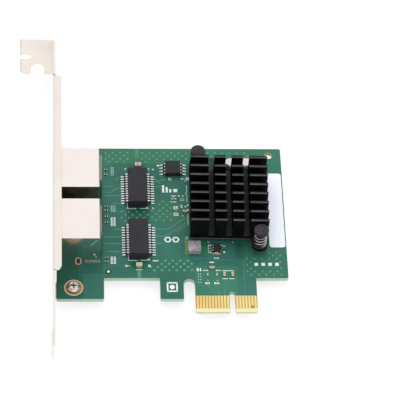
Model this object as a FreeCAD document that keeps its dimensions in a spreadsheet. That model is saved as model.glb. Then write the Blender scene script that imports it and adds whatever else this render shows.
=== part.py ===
# Dual-port network interface card with its full-height bracket, in millimetres.
# Origin: centre line of the key notch, on the lower edge of the contact tongue and on the
# component face of the board. X runs away from the bracket, Y from the edge connector
# towards the bracket's top tab, and Z out of the component face.
import FreeCAD, Part
import Sketcher
import math
import os
import re

document = FreeCAD.newDocument("network_card")
sheet = document.addObject("Spreadsheet::Sheet", "sizes")

# Driving dimensions, all in millimetres apart from counts and angles.
driving = {
    # board
    "board_thick": 1.6,
    "board_left": 57.8,
    "board_right": 18.95,
    "board_top": 66.3,
    "board_bottom": 13.1,
    "board_corner": 0.6,
    "foot_right": 42.2,
    "foot_bottom": 4.9,
    "heel_left": 23.7,
    "heel_right": 15.95,
    "tongue_left": 12.15,
    "tongue_right": 8.15,
    "tongue_corner": 0.5,
    "relief_centre": 10.9,
    "key_wide": 1.9,
    "key_deep": 7.75,
    "bevel_tall": 1.1,
    "bevel_deep": 0.42,
    "corner_hole_x": 14.75,
    "corner_hole_y": 63.5,
    "corner_hole_wide": 2.8,
    "plating_thick": 0.05,
    "drill_sides": 12,
    "small_drill_sides": 6,
    # edge contacts
    "contact_pitch": 1.0,
    "contact_wide": 0.7,
    "contact_base": 1.3,
    "contact_top": 6.2,
    "contact_short": 1.1,
    "contact_from_key": 1.5,
    "contacts_left": 11,
    "contacts_right": 7,
    "short_contact": 6,
    # bracket sheet
    "bracket_face": 59.05,
    "sheet_thick": 0.86,
    "bracket_wide": 18.42,
    "tab_seat": 100.36,
    "tab_reach": 11.43,
    "tab_corner": 1.4,
    "retainer_wide": 4.42,
    "retainer_centre": 5.48,
    "retainer_deep": 5.67,
    "side_slot_wide": 3.1,
    "side_slot_deep": 4.0,
    "fold_radius": 1.0,
    "shoulder_start": 9.5,
    "tongue_strip": 10.19,
    "bracket_end": 19.66,
    "joggle": 0.4,
    "joggle_run": 1.6,
    "strip_corner": 1.6,
    "flange_wide": 2.85,
    "flange_start": 6.2,
    "flange_end": 85.6,
    "flange_corner": 1.5,
    "bend_relief": 0.5,
    "window_gap": 0.25,
    "lug_wide": 6.4,
    "lug_tap": 2.5,
    "collar_wide": 4.2,
    "collar_deep": 0.8,
    # bracket screws
    "screw_x": 52.2,
    "screw_lower_y": 9.3,
    "screw_upper_y": 38.15,
    "screw_hole": 3.2,
    "screw_head": 4.1,
    "screw_head_tall": 1.5,
    "screw_shank": 2.4,
    "screw_past_lug": 1.1,
    "recess_long": 2.3,
    "recess_wide": 0.55,
    "recess_deep": 0.9,
    "screw_pad_lower": 6.2,
    "screw_pad_upper": 4.6,
    # modular jacks
    "jack_front": 59.0,
    "jack_rear": 43.5,
    "jack_wide": 15.9,
    "jack_high": 13.4,
    "jack_gap": 4.8,
    "shell_thick": 0.3,
    "cover_wide": 10.3,
    "cover_proud": 0.8,
    "cover_base": 1.2,
    "leg_x": 47.3,
    "leg_wide": 1.5,
    "leg_past": 1.0,
    "leg_hole": 2.0,
    "leg_pad": 2.7,
    "port_wide": 11.9,
    "port_base": 3.1,
    "port_top": 10.5,
    "port_deep": 10.4,
    "latch_wide": 4.2,
    "latch_base": 1.3,
    "latch_deep": 7.6,
    "light_wide": 3.2,
    "light_high": 1.7,
    "light_deep": 3.0,
    "light_inset": 0.5,
    "peg_x": 50.1,
    "peg_spread": 11.43,
    "peg_wide": 3.1,
    "peg_past": 0.4,
    "peg_gap": 0.1,
    "housing_gap": 0.05,
    # jack contacts
    "wire_pitch": 1.016,
    "wire_thick": 0.35,
    "wire_hole": 0.9,
    "wire_past": 1.0,
    "wire_row_front": 47.6,
    "wire_row_gap": 2.54,
    "wire_run": 11.55,
    "wire_nose": 55.0,
    "wire_tip": 49.6,
    "wire_tip_drop": 2.6,
    "wire_channel": 0.3,
    # line transformers
    "magnetics_x": 30.45,
    "magnetics_lower_y": 27.7,
    "magnetics_upper_y": 48.7,
    "magnetics_wide": 6.6,
    "magnetics_long": 14.4,
    "magnetics_high": 3.6,
    "magnetics_clear": 0.15,
    "magnetics_seam": 1.7,
    "magnetics_span": 11.0,
    "magnetics_foot": 1.2,
    "magnetics_pins": 12,
    "magnetics_pitch": 1.0,
    "mould_angle": 7.0,
    "lead_wide": 0.42,
    "lead_thick": 0.22,
    # controller and heat sink
    "chip_wide": 17.0,
    "chip_high": 1.15,
    "pad_thick": 0.25,
    "pad_wide": 15.0,
    "sink_x": -0.2,
    "sink_y": 41.2,
    "sink_wide": 25.9,
    "sink_long": 26.8,
    "sink_base": 1.9,
    "fin_high": 8.9,
    "fin_thick": 1.0,
    "fin_rows": 8,
    "fin_gap": 2.0,
    "fin_columns": 4,
    "channel_pitch": 5.85,
    "ear_x": 10.3,
    "ear_radius": 2.75,
    "ear_hole": 3.3,
    "board_pin_hole": 3.1,
    "sink_turn": -1.2,
    # push pins
    "pin_head": 5.0,
    "pin_clear": 0.05,
    "pin_top": 11.2,
    "pin_head_thick": 1.3,
    "pin_edge": 0.35,
    "pin_shaft": 2.5,
    "pin_barb": 3.9,
    "pin_barb_drop": 1.3,
    "pin_tip_drop": 2.5,
    "pin_slit": 0.7,
    "spring_coil": 3.85,
    "spring_wire": 0.5,
    "spring_turns": 6,
    # flash memory
    "flash_x": 18.3,
    "flash_y": 57.3,
    "flash_wide": 5.28,
    "flash_high": 1.8,
    "flash_clear": 0.1,
    "flash_seam": 0.95,
    "flash_span": 7.9,
    "flash_foot": 0.8,
    "flash_pins": 4,
    "flash_pitch": 1.27,
    # regulator
    "regulator_x": 4.6,
    "regulator_clear": 1.55,
    "regulator_wide": 2.0,
    "regulator_long": 2.9,
    "regulator_high": 1.15,
    "regulator_seam": 0.6,
    "regulator_span": 4.0,
    "regulator_foot": 0.5,
    "regulator_pins": 3,
    "regulator_pitch": 0.95,
    # power inductor
    "inductor_x": 11.9,
    "inductor_clear": 1.05,
    "inductor_wide": 4.1,
    "inductor_high": 2.0,
    "inductor_edge": 0.4,
    "terminal_thick": 0.12,
    "terminal_wide": 1.9,
    # crystal
    "crystal_x": 4.2,
    "crystal_clear": 1.45,
    "crystal_long": 9.6,
    "crystal_wide": 3.8,
    "crystal_high": 3.4,
    "crystal_base": 0.6,
    "crystal_rim": 0.35,
    "crystal_edge": 0.4,
    # label
    "label_left": 13.3,
    "label_right": 18.6,
    "label_bottom": 25.4,
    "label_top": 55.8,
    "label_thick": 0.12,
    "label_corner": 0.9,
    # chip parts: length, width and height of each case, and share of the metal ends
    "cap_large_long": 2.0,
    "cap_large_wide": 1.5,
    "cap_large_high": 1.3,
    "cap_medium_long": 1.6,
    "cap_medium_wide": 0.8,
    "cap_medium_high": 0.8,
    "chip_small_long": 1.0,
    "chip_small_wide": 0.5,
    "chip_small_high": 0.35,
    "chip_end": 0.25,
}

# Where the chip parts stand: centre in X and Y, case and direction of the long side.
capacitor_places = [
    (-30.5, 17.8, "cap_large", "x"),
    (-30.1, 58.9, "cap_large", "x"),
    (-3.2, 58.6, "cap_large", "y"),
    (-4.6, 22.6, "cap_medium", "x"),
    (-6.4, 17.0, "cap_medium", "x"),
    (-14.6, 39.8, "cap_medium", "x"),
    (-7.9, 14.4, "chip_small", "y"),
    (-4.8, 14.4, "chip_small", "y"),
    (-2.3, 14.3, "cap_medium", "y"),
    (0.4, 14.3, "cap_medium", "y"),
    (-14.3, 28.9, "chip_small", "y"),
    (-7.2, 27.3, "chip_small", "y"),
    (1.0, 27.3, "chip_small", "y"),
]
resistor_places = [
    (-7.9, 11.6, "chip_small", "y"),
    (-4.8, 11.6, "chip_small", "y"),
    (-41.1, 41.8, "chip_small", "x"),
    (-41.1, 40.3, "chip_small", "x"),
    (-41.1, 37.7, "chip_small", "x"),
    (-41.1, 35.3, "chip_small", "x"),
    (-41.2, 21.1, "chip_small", "x"),
    (-41.2, 19.5, "chip_small", "x"),
    (-41.1, 57.2, "chip_small", "x"),
    (-41.1, 55.1, "chip_small", "x"),
    (-14.2, 52.5, "chip_small", "y"),
    (-14.2, 47.0, "chip_small", "y"),
    (-18.5, 45.2, "chip_small", "y"),
    (-17.6, 40.4, "chip_small", "y"),
]

for row, (alias, number) in enumerate(driving.items(), start=1):
    sheet.set(f"A{row}", alias)
    sheet.set(f"B{row}", str(number))
    sheet.setAlias(f"B{row}", alias)
document.recompute()

sub_parts = []


def cells(formula):
    # "board_top - 2 * board_corner" becomes "sizes.board_top - 2 * sizes.board_corner"
    return re.sub(r"\b[a-z]\w+\b(?!\()", lambda word: "sizes." + word.group(), formula)


def bind(item, path, formula):
    item.setExpression(path, cells(formula))


def keep(item, label):
    item.Label = label
    sub_parts.append(item)
    return item


# ---- Part primitives and booleans -------------------------------------------------------

def block(name, low, size):
    # a box from its lowest corner and its three sides, each a formula on the sheet
    box = document.addObject("Part::Box", name)
    for axis, formula in zip("xyz", low):
        bind(box, f"Placement.Base.{axis}", formula)
    for side, formula in zip(("Length", "Width", "Height"), size):
        bind(box, side, formula)
    return box


def rod(name, base, radius, height, direction="z"):
    # a cylinder from the centre of its first end, along Y or Z
    cylinder = document.addObject("Part::Cylinder", name)
    if direction == "y":
        cylinder.Placement.Rotation = FreeCAD.Rotation(FreeCAD.Vector(1, 0, 0), -90)
    for axis, formula in zip("xyz", base):
        bind(cylinder, f"Placement.Base.{axis}", formula)
    bind(cylinder, "Radius", radius)
    bind(cylinder, "Height", height)
    return cylinder


def together(name, pieces):
    # separate solids that share one node
    compound = document.addObject("Part::Compound", name)
    compound.Links = pieces
    return compound


def fused(name, pieces):
    union = document.addObject("Part::MultiFuse", name)
    union.Shapes = pieces
    union.Refine = True
    return union


def carved(name, base, tools):
    # the tools touch each other, so they are fused before they cut
    cut = document.addObject("Part::Cut", name)
    cut.Base = base
    cut.Tool = tools[0] if len(tools) == 1 else fused(name + "_tools", tools)
    return cut


# ---- PartDesign bodies ------------------------------------------------------------------

def new_body(label, many=False):
    body = document.addObject("PartDesign::Body", label)
    body.AllowCompound = many
    return keep(body, label)


def origin_part(body, role):
    return next(item for item in body.Origin.OriginFeatures if item.Role == role)


def sketch_on(body, name, role, shift=("0", "0", "0")):
    sketch = body.newObject("Sketcher::SketchObject", name)
    sketch.AttachmentSupport = [(origin_part(body, role), "")]
    sketch.MapMode = "FlatFace"
    for axis, formula in zip("xyz", shift):
        bind(sketch, f"AttachmentOffset.Base.{axis}", formula)
    return sketch


def pin_point(sketch, geometry, point, x, y, start):
    for kind, formula, value in (("DistanceX", x, start.x), ("DistanceY", y, start.y)):
        number = sketch.addConstraint(
            Sketcher.Constraint(kind, -1, 1, geometry, point, value)
        )
        bind(sketch, f"Constraints[{number}]", formula)


def outline(sketch, corners):
    # a closed polygon whose every corner is held by two formulas; it starts as a regular one
    count = len(corners)
    start = [
        FreeCAD.Vector(math.cos(turn), math.sin(turn), 0) * count
        for turn in (2 * math.pi * index / count for index in range(count))
    ]
    first = sketch.GeometryCount
    for index in range(count):
        sketch.addGeometry(Part.LineSegment(start[index], start[(index + 1) % count]))
    sketch.addConstraint([
        Sketcher.Constraint("Coincident", first + index, 2, first + (index + 1) % count, 1)
        for index in range(count)
    ])
    for index, (x, y) in enumerate(corners):
        pin_point(sketch, first + index, 1, x, y, start[index])


def rectangle(sketch, left, right, bottom, top):
    outline(sketch, [(left, bottom), (right, bottom), (right, top), (left, top)])


def circle(sketch, x, y, radius):
    start = FreeCAD.Vector(1, 1, 0)
    number = sketch.addGeometry(Part.Circle(start, FreeCAD.Vector(0, 0, 1), 1))
    pin_point(sketch, number, 3, x, y, start)
    size = sketch.addConstraint(Sketcher.Constraint("Radius", number, 1))
    bind(sketch, f"Constraints[{size}]", radius)


def prism_hole(sketch, x, y, radius, sides="drill_sides"):
    # a small drilled hole with few facets
    outline(sketch, [
        (f"{x} + ({radius}) * cos(360 * {index} / {sides})",
         f"{y} + ({radius}) * sin(360 * {index} / {sides})")
        for index in range(int(size(sides)))
    ])


def pad(body, sketch, length, reverse=False, both=False, taper=None):
    feature = body.newObject("PartDesign::Pad", sketch.Name + "_pad")
    feature.Profile = sketch
    feature.Reversed = reverse
    feature.Midplane = both
    bind(feature, "Length", length)
    if taper:
        bind(feature, "TaperAngle", taper)
    return feature


def pocket(body, sketch, length=None, reverse=False, both=False):
    # with no length the pocket goes right through; it must take something away
    document.recompute()
    before = body.Shape.Volume
    feature = body.newObject("PartDesign::Pocket", sketch.Name + "_pocket")
    feature.Profile = sketch
    feature.Reversed = reverse
    feature.Midplane = both
    if length:
        bind(feature, "Length", length)
    else:
        feature.Type = "ThroughAll"
    document.recompute()
    if not body.Shape.Volume < before:
        raise ValueError(sketch.Name + " cuts nothing")
    return feature


def repeat(body, originals, role, pitch, count, reverse=False):
    pattern = body.newObject("PartDesign::LinearPattern", originals[0].Name + "_row")
    pattern.Originals = originals
    pattern.Direction = (origin_part(body, role), [""])
    pattern.Reversed = reverse
    bind(pattern, "Length", f"({pitch}) * (({count}) - 1)")
    bind(pattern, "Occurrences", count)
    body.Tip = pattern
    return pattern


def round_edges(body, name, radius, wanted):
    # wanted(edge) picks edges of the finished shape by where they lie
    document.recompute()
    base = body.Tip
    names = [
        f"Edge{number}"
        for number, edge in enumerate(base.Shape.Edges, start=1)
        if wanted(edge)
    ]
    if not names:
        raise ValueError(name + " finds no edge")
    fillet = body.newObject("PartDesign::Fillet", name)
    fillet.Base = (base, names)
    bind(fillet, "Radius", radius)
    return fillet


def size(alias):
    return float(sheet.get(alias))


def is_upright(edge, axis, places, slack=0.01):
    # a straight edge along one axis whose other two coordinates match one of the places
    box = edge.BoundBox
    lows = {"x": box.XMin, "y": box.YMin, "z": box.ZMin}
    highs = {"x": box.XMax, "y": box.YMax, "z": box.ZMax}
    others = [letter for letter in "xyz" if letter != axis]
    if any(highs[letter] - lows[letter] > slack for letter in others):
        return False
    where = [lows[letter] for letter in others]
    return any(
        all(abs(a - b) < slack for a, b in zip(where, place)) for place in places
    )


# the jacks stand one each side of the upper bracket screw
jack_y = {
    "lower": "(screw_upper_y - (jack_gap + jack_wide) / 2)",
    "upper": "(screw_upper_y + (jack_gap + jack_wide) / 2)",
}
# the push pins stand just clear of the fins, and the tall parts just clear of the sink
ear_out = "(sink_long / 2 + pin_head / 2 + pin_clear)"
regulator_y = "(sink_y - sink_long / 2 - regulator_clear - regulator_long / 2)"
inductor_y = "(sink_y - sink_long / 2 - inductor_clear - inductor_wide / 2)"
crystal_y = "(sink_y + sink_long / 2 + crystal_clear + crystal_wide / 2 + crystal_rim)"


# ---- board ------------------------------------------------------------------------------

def make_board():
    body = new_body("pcb")
    shape = sketch_on(body, "board_outline", "XY_Plane")
    outline(shape, [
        ("-board_left", "foot_bottom"),
        ("-foot_right", "foot_bottom"),
        ("-foot_right", "board_bottom"),
        ("-heel_left", "board_bottom"),
        ("-heel_left", "foot_bottom"),
        ("-heel_right", "foot_bottom"),
        ("-heel_right", "relief_centre"),
        ("-tongue_left", "relief_centre"),
        ("-tongue_left", "tongue_corner"),
        ("-tongue_left + tongue_corner", "0"),
        ("tongue_right - tongue_corner", "0"),
        ("tongue_right", "tongue_corner"),
        ("tongue_right", "board_bottom"),
        ("board_right", "board_bottom"),
        ("board_right", "board_top"),
        ("-board_left", "board_top"),
    ])
    pad(body, shape, "board_thick", reverse=True)
    left = -size("board_left")
    foot = size("foot_bottom")
    bottom = size("board_bottom")
    right = size("board_right")
    top = size("board_top")
    corners = [
        (left, foot), (-size("foot_right"), foot), (-size("foot_right"), bottom),
        (-size("heel_left"), bottom), (-size("heel_left"), foot),
        (-size("heel_right"), foot), (size("tongue_right"), bottom),
        (right, bottom), (right, top), (left, top),
    ]
    round_edges(body, "board_corners", "board_corner",
                lambda edge: is_upright(edge, "z", corners))
    relief = sketch_on(body, "tongue_relief", "XY_Plane")
    circle(relief, "-(heel_right + tongue_left) / 2", "relief_centre",
           "(heel_right - tongue_left) / 2")
    pocket(body, relief)
    key = sketch_on(body, "key_notch", "XY_Plane")
    rectangle(key, "-key_wide / 2", "key_wide / 2", "-key_wide", "key_deep - key_wide / 2")
    pocket(body, key)
    key_top = sketch_on(body, "key_notch_top", "XY_Plane")
    circle(key_top, "0", "key_deep - key_wide / 2", "key_wide / 2")
    pocket(body, key_top)
    bevel = sketch_on(body, "tongue_bevel", "YZ_Plane")
    outline(bevel, [("0", "0"), ("0", "-bevel_deep"), ("bevel_tall", "0")])
    outline(bevel, [
        ("0", "-board_thick"), ("bevel_tall", "-board_thick"),
        ("0", "bevel_deep - board_thick"),
    ])
    pocket(body, bevel, both=True)
    holes = sketch_on(body, "bracket_screw_holes", "XY_Plane")
    prism_hole(holes, "-screw_x", "screw_lower_y", "screw_hole / 2")
    prism_hole(holes, "-screw_x", "screw_upper_y", "screw_hole / 2")
    pocket(body, holes)
    corner_hole = sketch_on(body, "corner_hole", "XY_Plane")
    prism_hole(corner_hole, "corner_hole_x", "corner_hole_y", "corner_hole_wide / 2")
    pocket(body, corner_hole)
    pin_holes = sketch_on(body, "push_pin_holes", "XY_Plane")
    for side in ("1", "-1"):
        prism_hole(
            pin_holes,
            f"sink_x + {side} * (ear_x * cos(sink_turn) + {ear_out} * sin(sink_turn))",
            f"sink_y + {side} * (ear_x * sin(sink_turn) - {ear_out} * cos(sink_turn))",
            "board_pin_hole / 2",
        )
    pocket(body, pin_holes)
    for place, centre in jack_y.items():
        pegs = sketch_on(body, f"peg_holes_{place}", "XY_Plane")
        legs = sketch_on(body, f"leg_holes_{place}", "XY_Plane")
        for side in "+-":
            prism_hole(pegs, "-peg_x", f"{centre} {side} peg_spread / 2",
                       "peg_wide / 2 + peg_gap")
            prism_hole(legs, "-leg_x", f"{centre} {side} (jack_wide - shell_thick) / 2",
                       "leg_hole / 2", "small_drill_sides")
        pocket(body, pegs)
        pocket(body, legs)
        tails = sketch_on(body, f"tail_holes_{place}", "XY_Plane")
        for row_x, offset in (("-wire_row_front", "-2.5"),
                              ("wire_row_gap - wire_row_front", "-3.5")):
            prism_hole(tails, row_x, f"{centre} + ({offset}) * wire_pitch",
                       "wire_hole / 2", "small_drill_sides")
        drilled = pocket(body, tails)
        repeat(body, [drilled], "Y_Axis", "2 * wire_pitch", "4")


def plated_ring(name, x, y, low, outer, inner, height, sides="drill_sides"):
    # a flat ring or a sleeve of bare plated copper
    ring = document.addObject("Part::Prism", name + "_outside")
    hole = document.addObject("Part::Prism", name + "_inside")
    for prism, radius in ((ring, outer), (hole, inner)):
        bind(prism, "Placement.Base.x", x)
        bind(prism, "Placement.Base.y", y)
        bind(prism, "Placement.Base.z", low)
        bind(prism, "Polygon", sides)
        bind(prism, "Circumradius", radius)
        bind(prism, "Height", height)
    return carved(name, ring, [hole])


def make_plated_rings():
    rings = [
        plated_ring(f"screw_ring_{place}", "-screw_x", f"screw_{place}_y", "0",
                    f"screw_pad_{place} / 2", "screw_hole / 2", "plating_thick")
        for place in ("lower", "upper")
    ]
    keep(together("screw_pads", rings), "screw_pads")
    edges = [
        plated_ring(f"leg_ring_{place}_{index}", "-leg_x",
                    f"{centre} {side} (jack_wide - shell_thick) / 2",
                    "-board_thick - plating_thick", "leg_pad / 2", "leg_hole / 2",
                    "plating_thick", "small_drill_sides")
        for place, centre in jack_y.items()
        for index, side in enumerate("+-")
    ]
    keep(together("leg_pads", edges), "leg_pads")
    sleeve = plated_ring("sleeve_wall", "corner_hole_x", "corner_hole_y", "-board_thick",
                         "corner_hole_wide / 2", "corner_hole_wide / 2 - plating_thick",
                         "board_thick")
    keep(sleeve, "corner_hole_sleeve")


def make_edge_contacts(label, under):
    left_count = int(size("contacts_left"))
    right_count = int(size("contacts_right"))
    short_one = int(size("short_contact"))
    pieces = []
    places = [f"-contact_from_key - {index} * contact_pitch" for index in range(left_count)]
    places += [f"contact_from_key + {index} * contact_pitch" for index in range(right_count)]
    for index, middle in enumerate(places):
        is_short = index == left_count + short_one - 1
        base = "contact_base + contact_short" if is_short else "contact_base"
        face = "-board_thick - plating_thick" if under else "0"
        pieces.append(block(
            f"{label}_{index}",
            (f"{middle} - contact_wide / 2", base, face),
            ("contact_wide", f"contact_top - ({base})", "plating_thick"),
        ))
    keep(together(label, pieces), label)


# ---- bracket ----------------------------------------------------------------------------

low_edge = "(-board_thick - sheet_thick)"
high_edge = "(bracket_wide - board_thick - sheet_thick)"
middle_line = "(bracket_wide / 2 - board_thick - sheet_thick)"
shoulder_end = "(shoulder_start + (bracket_wide - tongue_strip) / 2)"


def make_bracket():
    body = new_body("bracket")
    plate = sketch_on(body, "bracket_plate", "YZ_Plane", ("0", "0", "-bracket_face"))
    outline(plate, [
        ("tab_seat + sheet_thick", low_edge),
        ("tab_seat + sheet_thick", high_edge),
        ("-shoulder_start", high_edge),
        (f"-{shoulder_end}", f"{middle_line} + tongue_strip / 2"),
        (f"-{shoulder_end}", f"{middle_line} - tongue_strip / 2"),
        ("-shoulder_start", low_edge),
    ])
    pad(body, plate, "sheet_thick")
    strip = sketch_on(body, "bracket_strip", "XY_Plane",
                      ("0", "0", f"{middle_line} - tongue_strip / 2"))
    outline(strip, [
        ("-bracket_face", f"-{shoulder_end}"),
        ("-bracket_face + sheet_thick", f"-{shoulder_end}"),
        ("-bracket_face + sheet_thick - joggle", f"-{shoulder_end} - joggle_run"),
        ("-bracket_face + sheet_thick - joggle", "-bracket_end"),
        ("-bracket_face - joggle", "-bracket_end"),
        ("-bracket_face - joggle", f"-{shoulder_end} - joggle_run"),
    ])
    pad(body, strip, "tongue_strip")
    tab = sketch_on(body, "bracket_tab", "XZ_Plane", ("0", "0", "-tab_seat - sheet_thick"))
    outline(tab, [
        ("-bracket_face", low_edge),
        ("-bracket_face", high_edge),
        ("-bracket_face - tab_reach", high_edge),
        ("-bracket_face - tab_reach", f"{low_edge} + tab_corner"),
        ("-bracket_face - tab_reach + tab_corner", low_edge),
    ])
    pad(body, tab, "sheet_thick")
    flange = sketch_on(body, "bracket_flange", "XY_Plane",
                       ("0", "0", f"{high_edge} - sheet_thick"))
    rectangle(flange, "-bracket_face + sheet_thick", "-bracket_face + flange_wide",
              "flange_start", "flange_end")
    pad(body, flange, "sheet_thick")
    lugs = sketch_on(body, "bracket_lugs", "XY_Plane", ("0", "0", low_edge))
    for centre in ("screw_lower_y", "screw_upper_y"):
        rectangle(lugs, "-bracket_face + sheet_thick", "-screw_x",
                  f"{centre} - lug_wide / 2", f"{centre} + lug_wide / 2")
    pad(body, lugs, "sheet_thick")
    ends = sketch_on(body, "lug_ends", "XY_Plane", ("0", "0", low_edge))
    circle(ends, "-screw_x", "screw_lower_y", "lug_wide / 2")
    circle(ends, "-screw_x", "screw_upper_y", "lug_wide / 2")
    pad(body, ends, "sheet_thick")
    collars = sketch_on(body, "lug_collars", "XY_Plane",
                        ("0", "0", f"{low_edge} - collar_deep"))
    circle(collars, "-screw_x", "screw_lower_y", "collar_wide / 2")
    circle(collars, "-screw_x", "screw_upper_y", "collar_wide / 2")
    pad(body, collars, "collar_deep")
    taps = sketch_on(body, "lug_taps", "XY_Plane", ("0", "0", "-board_thick"))
    prism_hole(taps, "-screw_x", "screw_lower_y", "lug_tap / 2")
    prism_hole(taps, "-screw_x", "screw_upper_y", "lug_tap / 2")
    pocket(body, taps, "sheet_thick + 2 * collar_deep")
    windows = sketch_on(body, "jack_windows", "YZ_Plane", ("0", "0", "-bracket_face"))
    for centre in jack_y.values():
        rectangle(windows, f"{centre} - jack_wide / 2 - window_gap",
                  f"{centre} + jack_wide / 2 + window_gap",
                  "-window_gap", "jack_high + window_gap")
    pocket(body, windows, "2 * sheet_thick", both=True)
    reliefs = sketch_on(body, "bend_reliefs", "YZ_Plane", ("0", "0", "-bracket_face"))
    rectangle(reliefs, "flange_start - bend_relief", "flange_start",
              f"{high_edge} - sheet_thick - bend_relief", f"{high_edge} + sheet_thick")
    rectangle(reliefs, "flange_end", "flange_end + bend_relief",
              f"{high_edge} - sheet_thick - bend_relief", f"{high_edge} + sheet_thick")
    pocket(body, reliefs, "4 * sheet_thick", both=True)
    retainer = sketch_on(body, "retainer_slot", "XZ_Plane",
                         ("0", "0", "-tab_seat - sheet_thick"))
    rectangle(retainer, "-bracket_face - retainer_centre - retainer_wide / 2",
              "-bracket_face - retainer_centre + retainer_wide / 2",
              f"{low_edge} - retainer_wide",
              f"{low_edge} + retainer_deep - retainer_wide / 2")
    pocket(body, retainer, "4 * sheet_thick", both=True)
    retainer_top = sketch_on(body, "retainer_slot_top", "XZ_Plane",
                             ("0", "0", "-tab_seat - sheet_thick"))
    circle(retainer_top, "-bracket_face - retainer_centre",
           f"{low_edge} + retainer_deep - retainer_wide / 2", "retainer_wide / 2")
    pocket(body, retainer_top, "4 * sheet_thick", both=True)
    side = sketch_on(body, "side_slot", "XZ_Plane", ("0", "0", "-tab_seat - sheet_thick"))
    rectangle(side, "-bracket_face - tab_reach - side_slot_wide",
              "-bracket_face - tab_reach + side_slot_deep - side_slot_wide / 2",
              f"{middle_line} - side_slot_wide / 2", f"{middle_line} + side_slot_wide / 2")
    pocket(body, side, "4 * sheet_thick", both=True)
    side_end = sketch_on(body, "side_slot_end", "XZ_Plane",
                         ("0", "0", "-tab_seat - sheet_thick"))
    circle(side_end, "-bracket_face - tab_reach + side_slot_deep - side_slot_wide / 2",
           middle_line, "side_slot_wide / 2")
    pocket(body, side_end, "4 * sheet_thick", both=True)
    face = -size("bracket_face")
    thick = size("sheet_thick")
    fold = (face + thick, size("tab_seat") + thick)
    round_edges(body, "tab_fold", "fold_radius",
                lambda edge: is_upright(edge, "z", [fold]))
    flange_x = face + size("flange_wide")
    tips = [(flange_x, size("flange_start")), (flange_x, size("flange_end"))]
    round_edges(body, "flange_tips", "flange_corner",
                lambda edge: is_upright(edge, "z", tips))
    middle = size("bracket_wide") / 2 - size("board_thick") - thick
    half_strip = size("tongue_strip") / 2
    strip_ends = [(-size("bracket_end"), middle - half_strip),
                  (-size("bracket_end"), middle + half_strip)]
    round_edges(body, "strip_ends", "strip_corner",
                lambda edge: is_upright(edge, "x", strip_ends))
    high = size("bracket_wide") - size("board_thick") - thick
    middle_y = (size("flange_start") + size("flange_end")) / 2
    round_edges(body, "flange_bend", "fold_radius",
                lambda edge: is_upright(edge, "y", [(face, high)])
                and edge.BoundBox.YMin < middle_y < edge.BoundBox.YMax)


def make_bracket_screws():
    body = new_body("bracket_screws", many=True)
    profile = sketch_on(body, "screw_profile", "XZ_Plane",
                        ("-screw_x", "0", "-screw_lower_y"))
    outline(profile, [
        ("0", "plating_thick + screw_head_tall"),
        ("screw_head * 0.36", "plating_thick + screw_head_tall * 0.9"),
        ("screw_head / 2", "plating_thick + screw_head_tall * 0.4"),
        ("screw_head / 2", "plating_thick"),
        ("screw_shank / 2", "plating_thick"),
        ("screw_shank / 2", "-board_thick - sheet_thick - screw_past_lug"),
        ("0", "-board_thick - sheet_thick - screw_past_lug"),
    ])
    turned = body.newObject("PartDesign::Revolution", "screw_turned")
    turned.Profile = profile
    turned.ReferenceAxis = (profile, ["V_Axis"])
    turned.Angle = 360
    shift = ("-screw_x", "screw_lower_y", "plating_thick + screw_head_tall")
    recess = sketch_on(body, "screw_recess", "XY_Plane", shift)
    rectangle(recess, "-recess_long / 2", "recess_long / 2",
              "-recess_wide / 2", "recess_wide / 2")
    slot = pocket(body, recess, "recess_deep")
    cross = sketch_on(body, "screw_recess_cross", "XY_Plane", shift)
    rectangle(cross, "-recess_wide / 2", "recess_wide / 2",
              "-recess_long / 2", "recess_long / 2")
    cross_slot = pocket(body, cross, "recess_deep")
    repeat(body, [turned, slot, cross_slot], "Y_Axis", "screw_upper_y - screw_lower_y", "2")


# ---- modular jacks ----------------------------------------------------------------------

def make_jack_shell(side):
    centre = jack_y[side]
    name = f"jack_shell_{side}"
    outside = block(name + "_outside", ("-jack_front", f"{centre} - jack_wide / 2", "0"),
                    ("jack_front - jack_rear", "jack_wide", "jack_high"))
    inside = block(
        name + "_inside",
        ("-jack_front + shell_thick", f"{centre} - jack_wide / 2 + shell_thick",
         "-shell_thick"),
        ("jack_front - jack_rear - 2 * shell_thick", "jack_wide - 2 * shell_thick",
         "jack_high"),
    )
    port = block(name + "_port", ("-jack_front - 1", f"{centre} - port_wide / 2", "port_base"),
                 ("2", "port_wide", "port_top - port_base"))
    latch = block(name + "_latch",
                  ("-jack_front - 1", f"{centre} - latch_wide / 2", "latch_base"),
                  ("2", "latch_wide", "port_top - latch_base"))
    tools = [inside, port, latch]
    for index, left in enumerate(light_places(centre)):
        tools.append(block(
            f"{name}_light_{index}", ("-jack_front - 1", left, light_base),
            ("2", "light_wide", "light_high"),
        ))
    walls = carved(name + "_walls", outside, tools)
    cover = block(
        name + "_cover",
        ("-jack_rear - shell_thick", f"{centre} - cover_wide / 2", "cover_base"),
        ("shell_thick + cover_proud", "cover_wide", "jack_high - cover_proud - cover_base"),
    )
    bend = rod(name + "_bend",
               ("-jack_rear", f"{centre} - cover_wide / 2", "jack_high - cover_proud"),
               "cover_proud", "cover_wide", direction="y")
    waste = block(
        name + "_bend_waste",
        ("-jack_rear - 2 * cover_proud", f"{centre} - cover_wide / 2",
         "jack_high - 2 * cover_proud"),
        ("2 * cover_proud - shell_thick", "cover_wide", "2 * cover_proud"),
    )
    pieces = [walls, cover, carved(name + "_roll", bend, [waste])]
    for index, edge in enumerate((f"{centre} - jack_wide / 2",
                                  f"{centre} + jack_wide / 2 - shell_thick")):
        pieces.append(block(
            f"{name}_leg_{index}",
            ("-leg_x - leg_wide / 2", edge, "-board_thick - leg_past"),
            ("leg_wide", "shell_thick", "board_thick + leg_past + port_base"),
        ))
    keep(fused(name, pieces), name)


light_base = "jack_high - shell_thick - light_inset - light_high"


def light_places(centre):
    return (f"{centre} - jack_wide / 2 + shell_thick + light_inset",
            f"{centre} + jack_wide / 2 - shell_thick - light_inset - light_wide")


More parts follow.
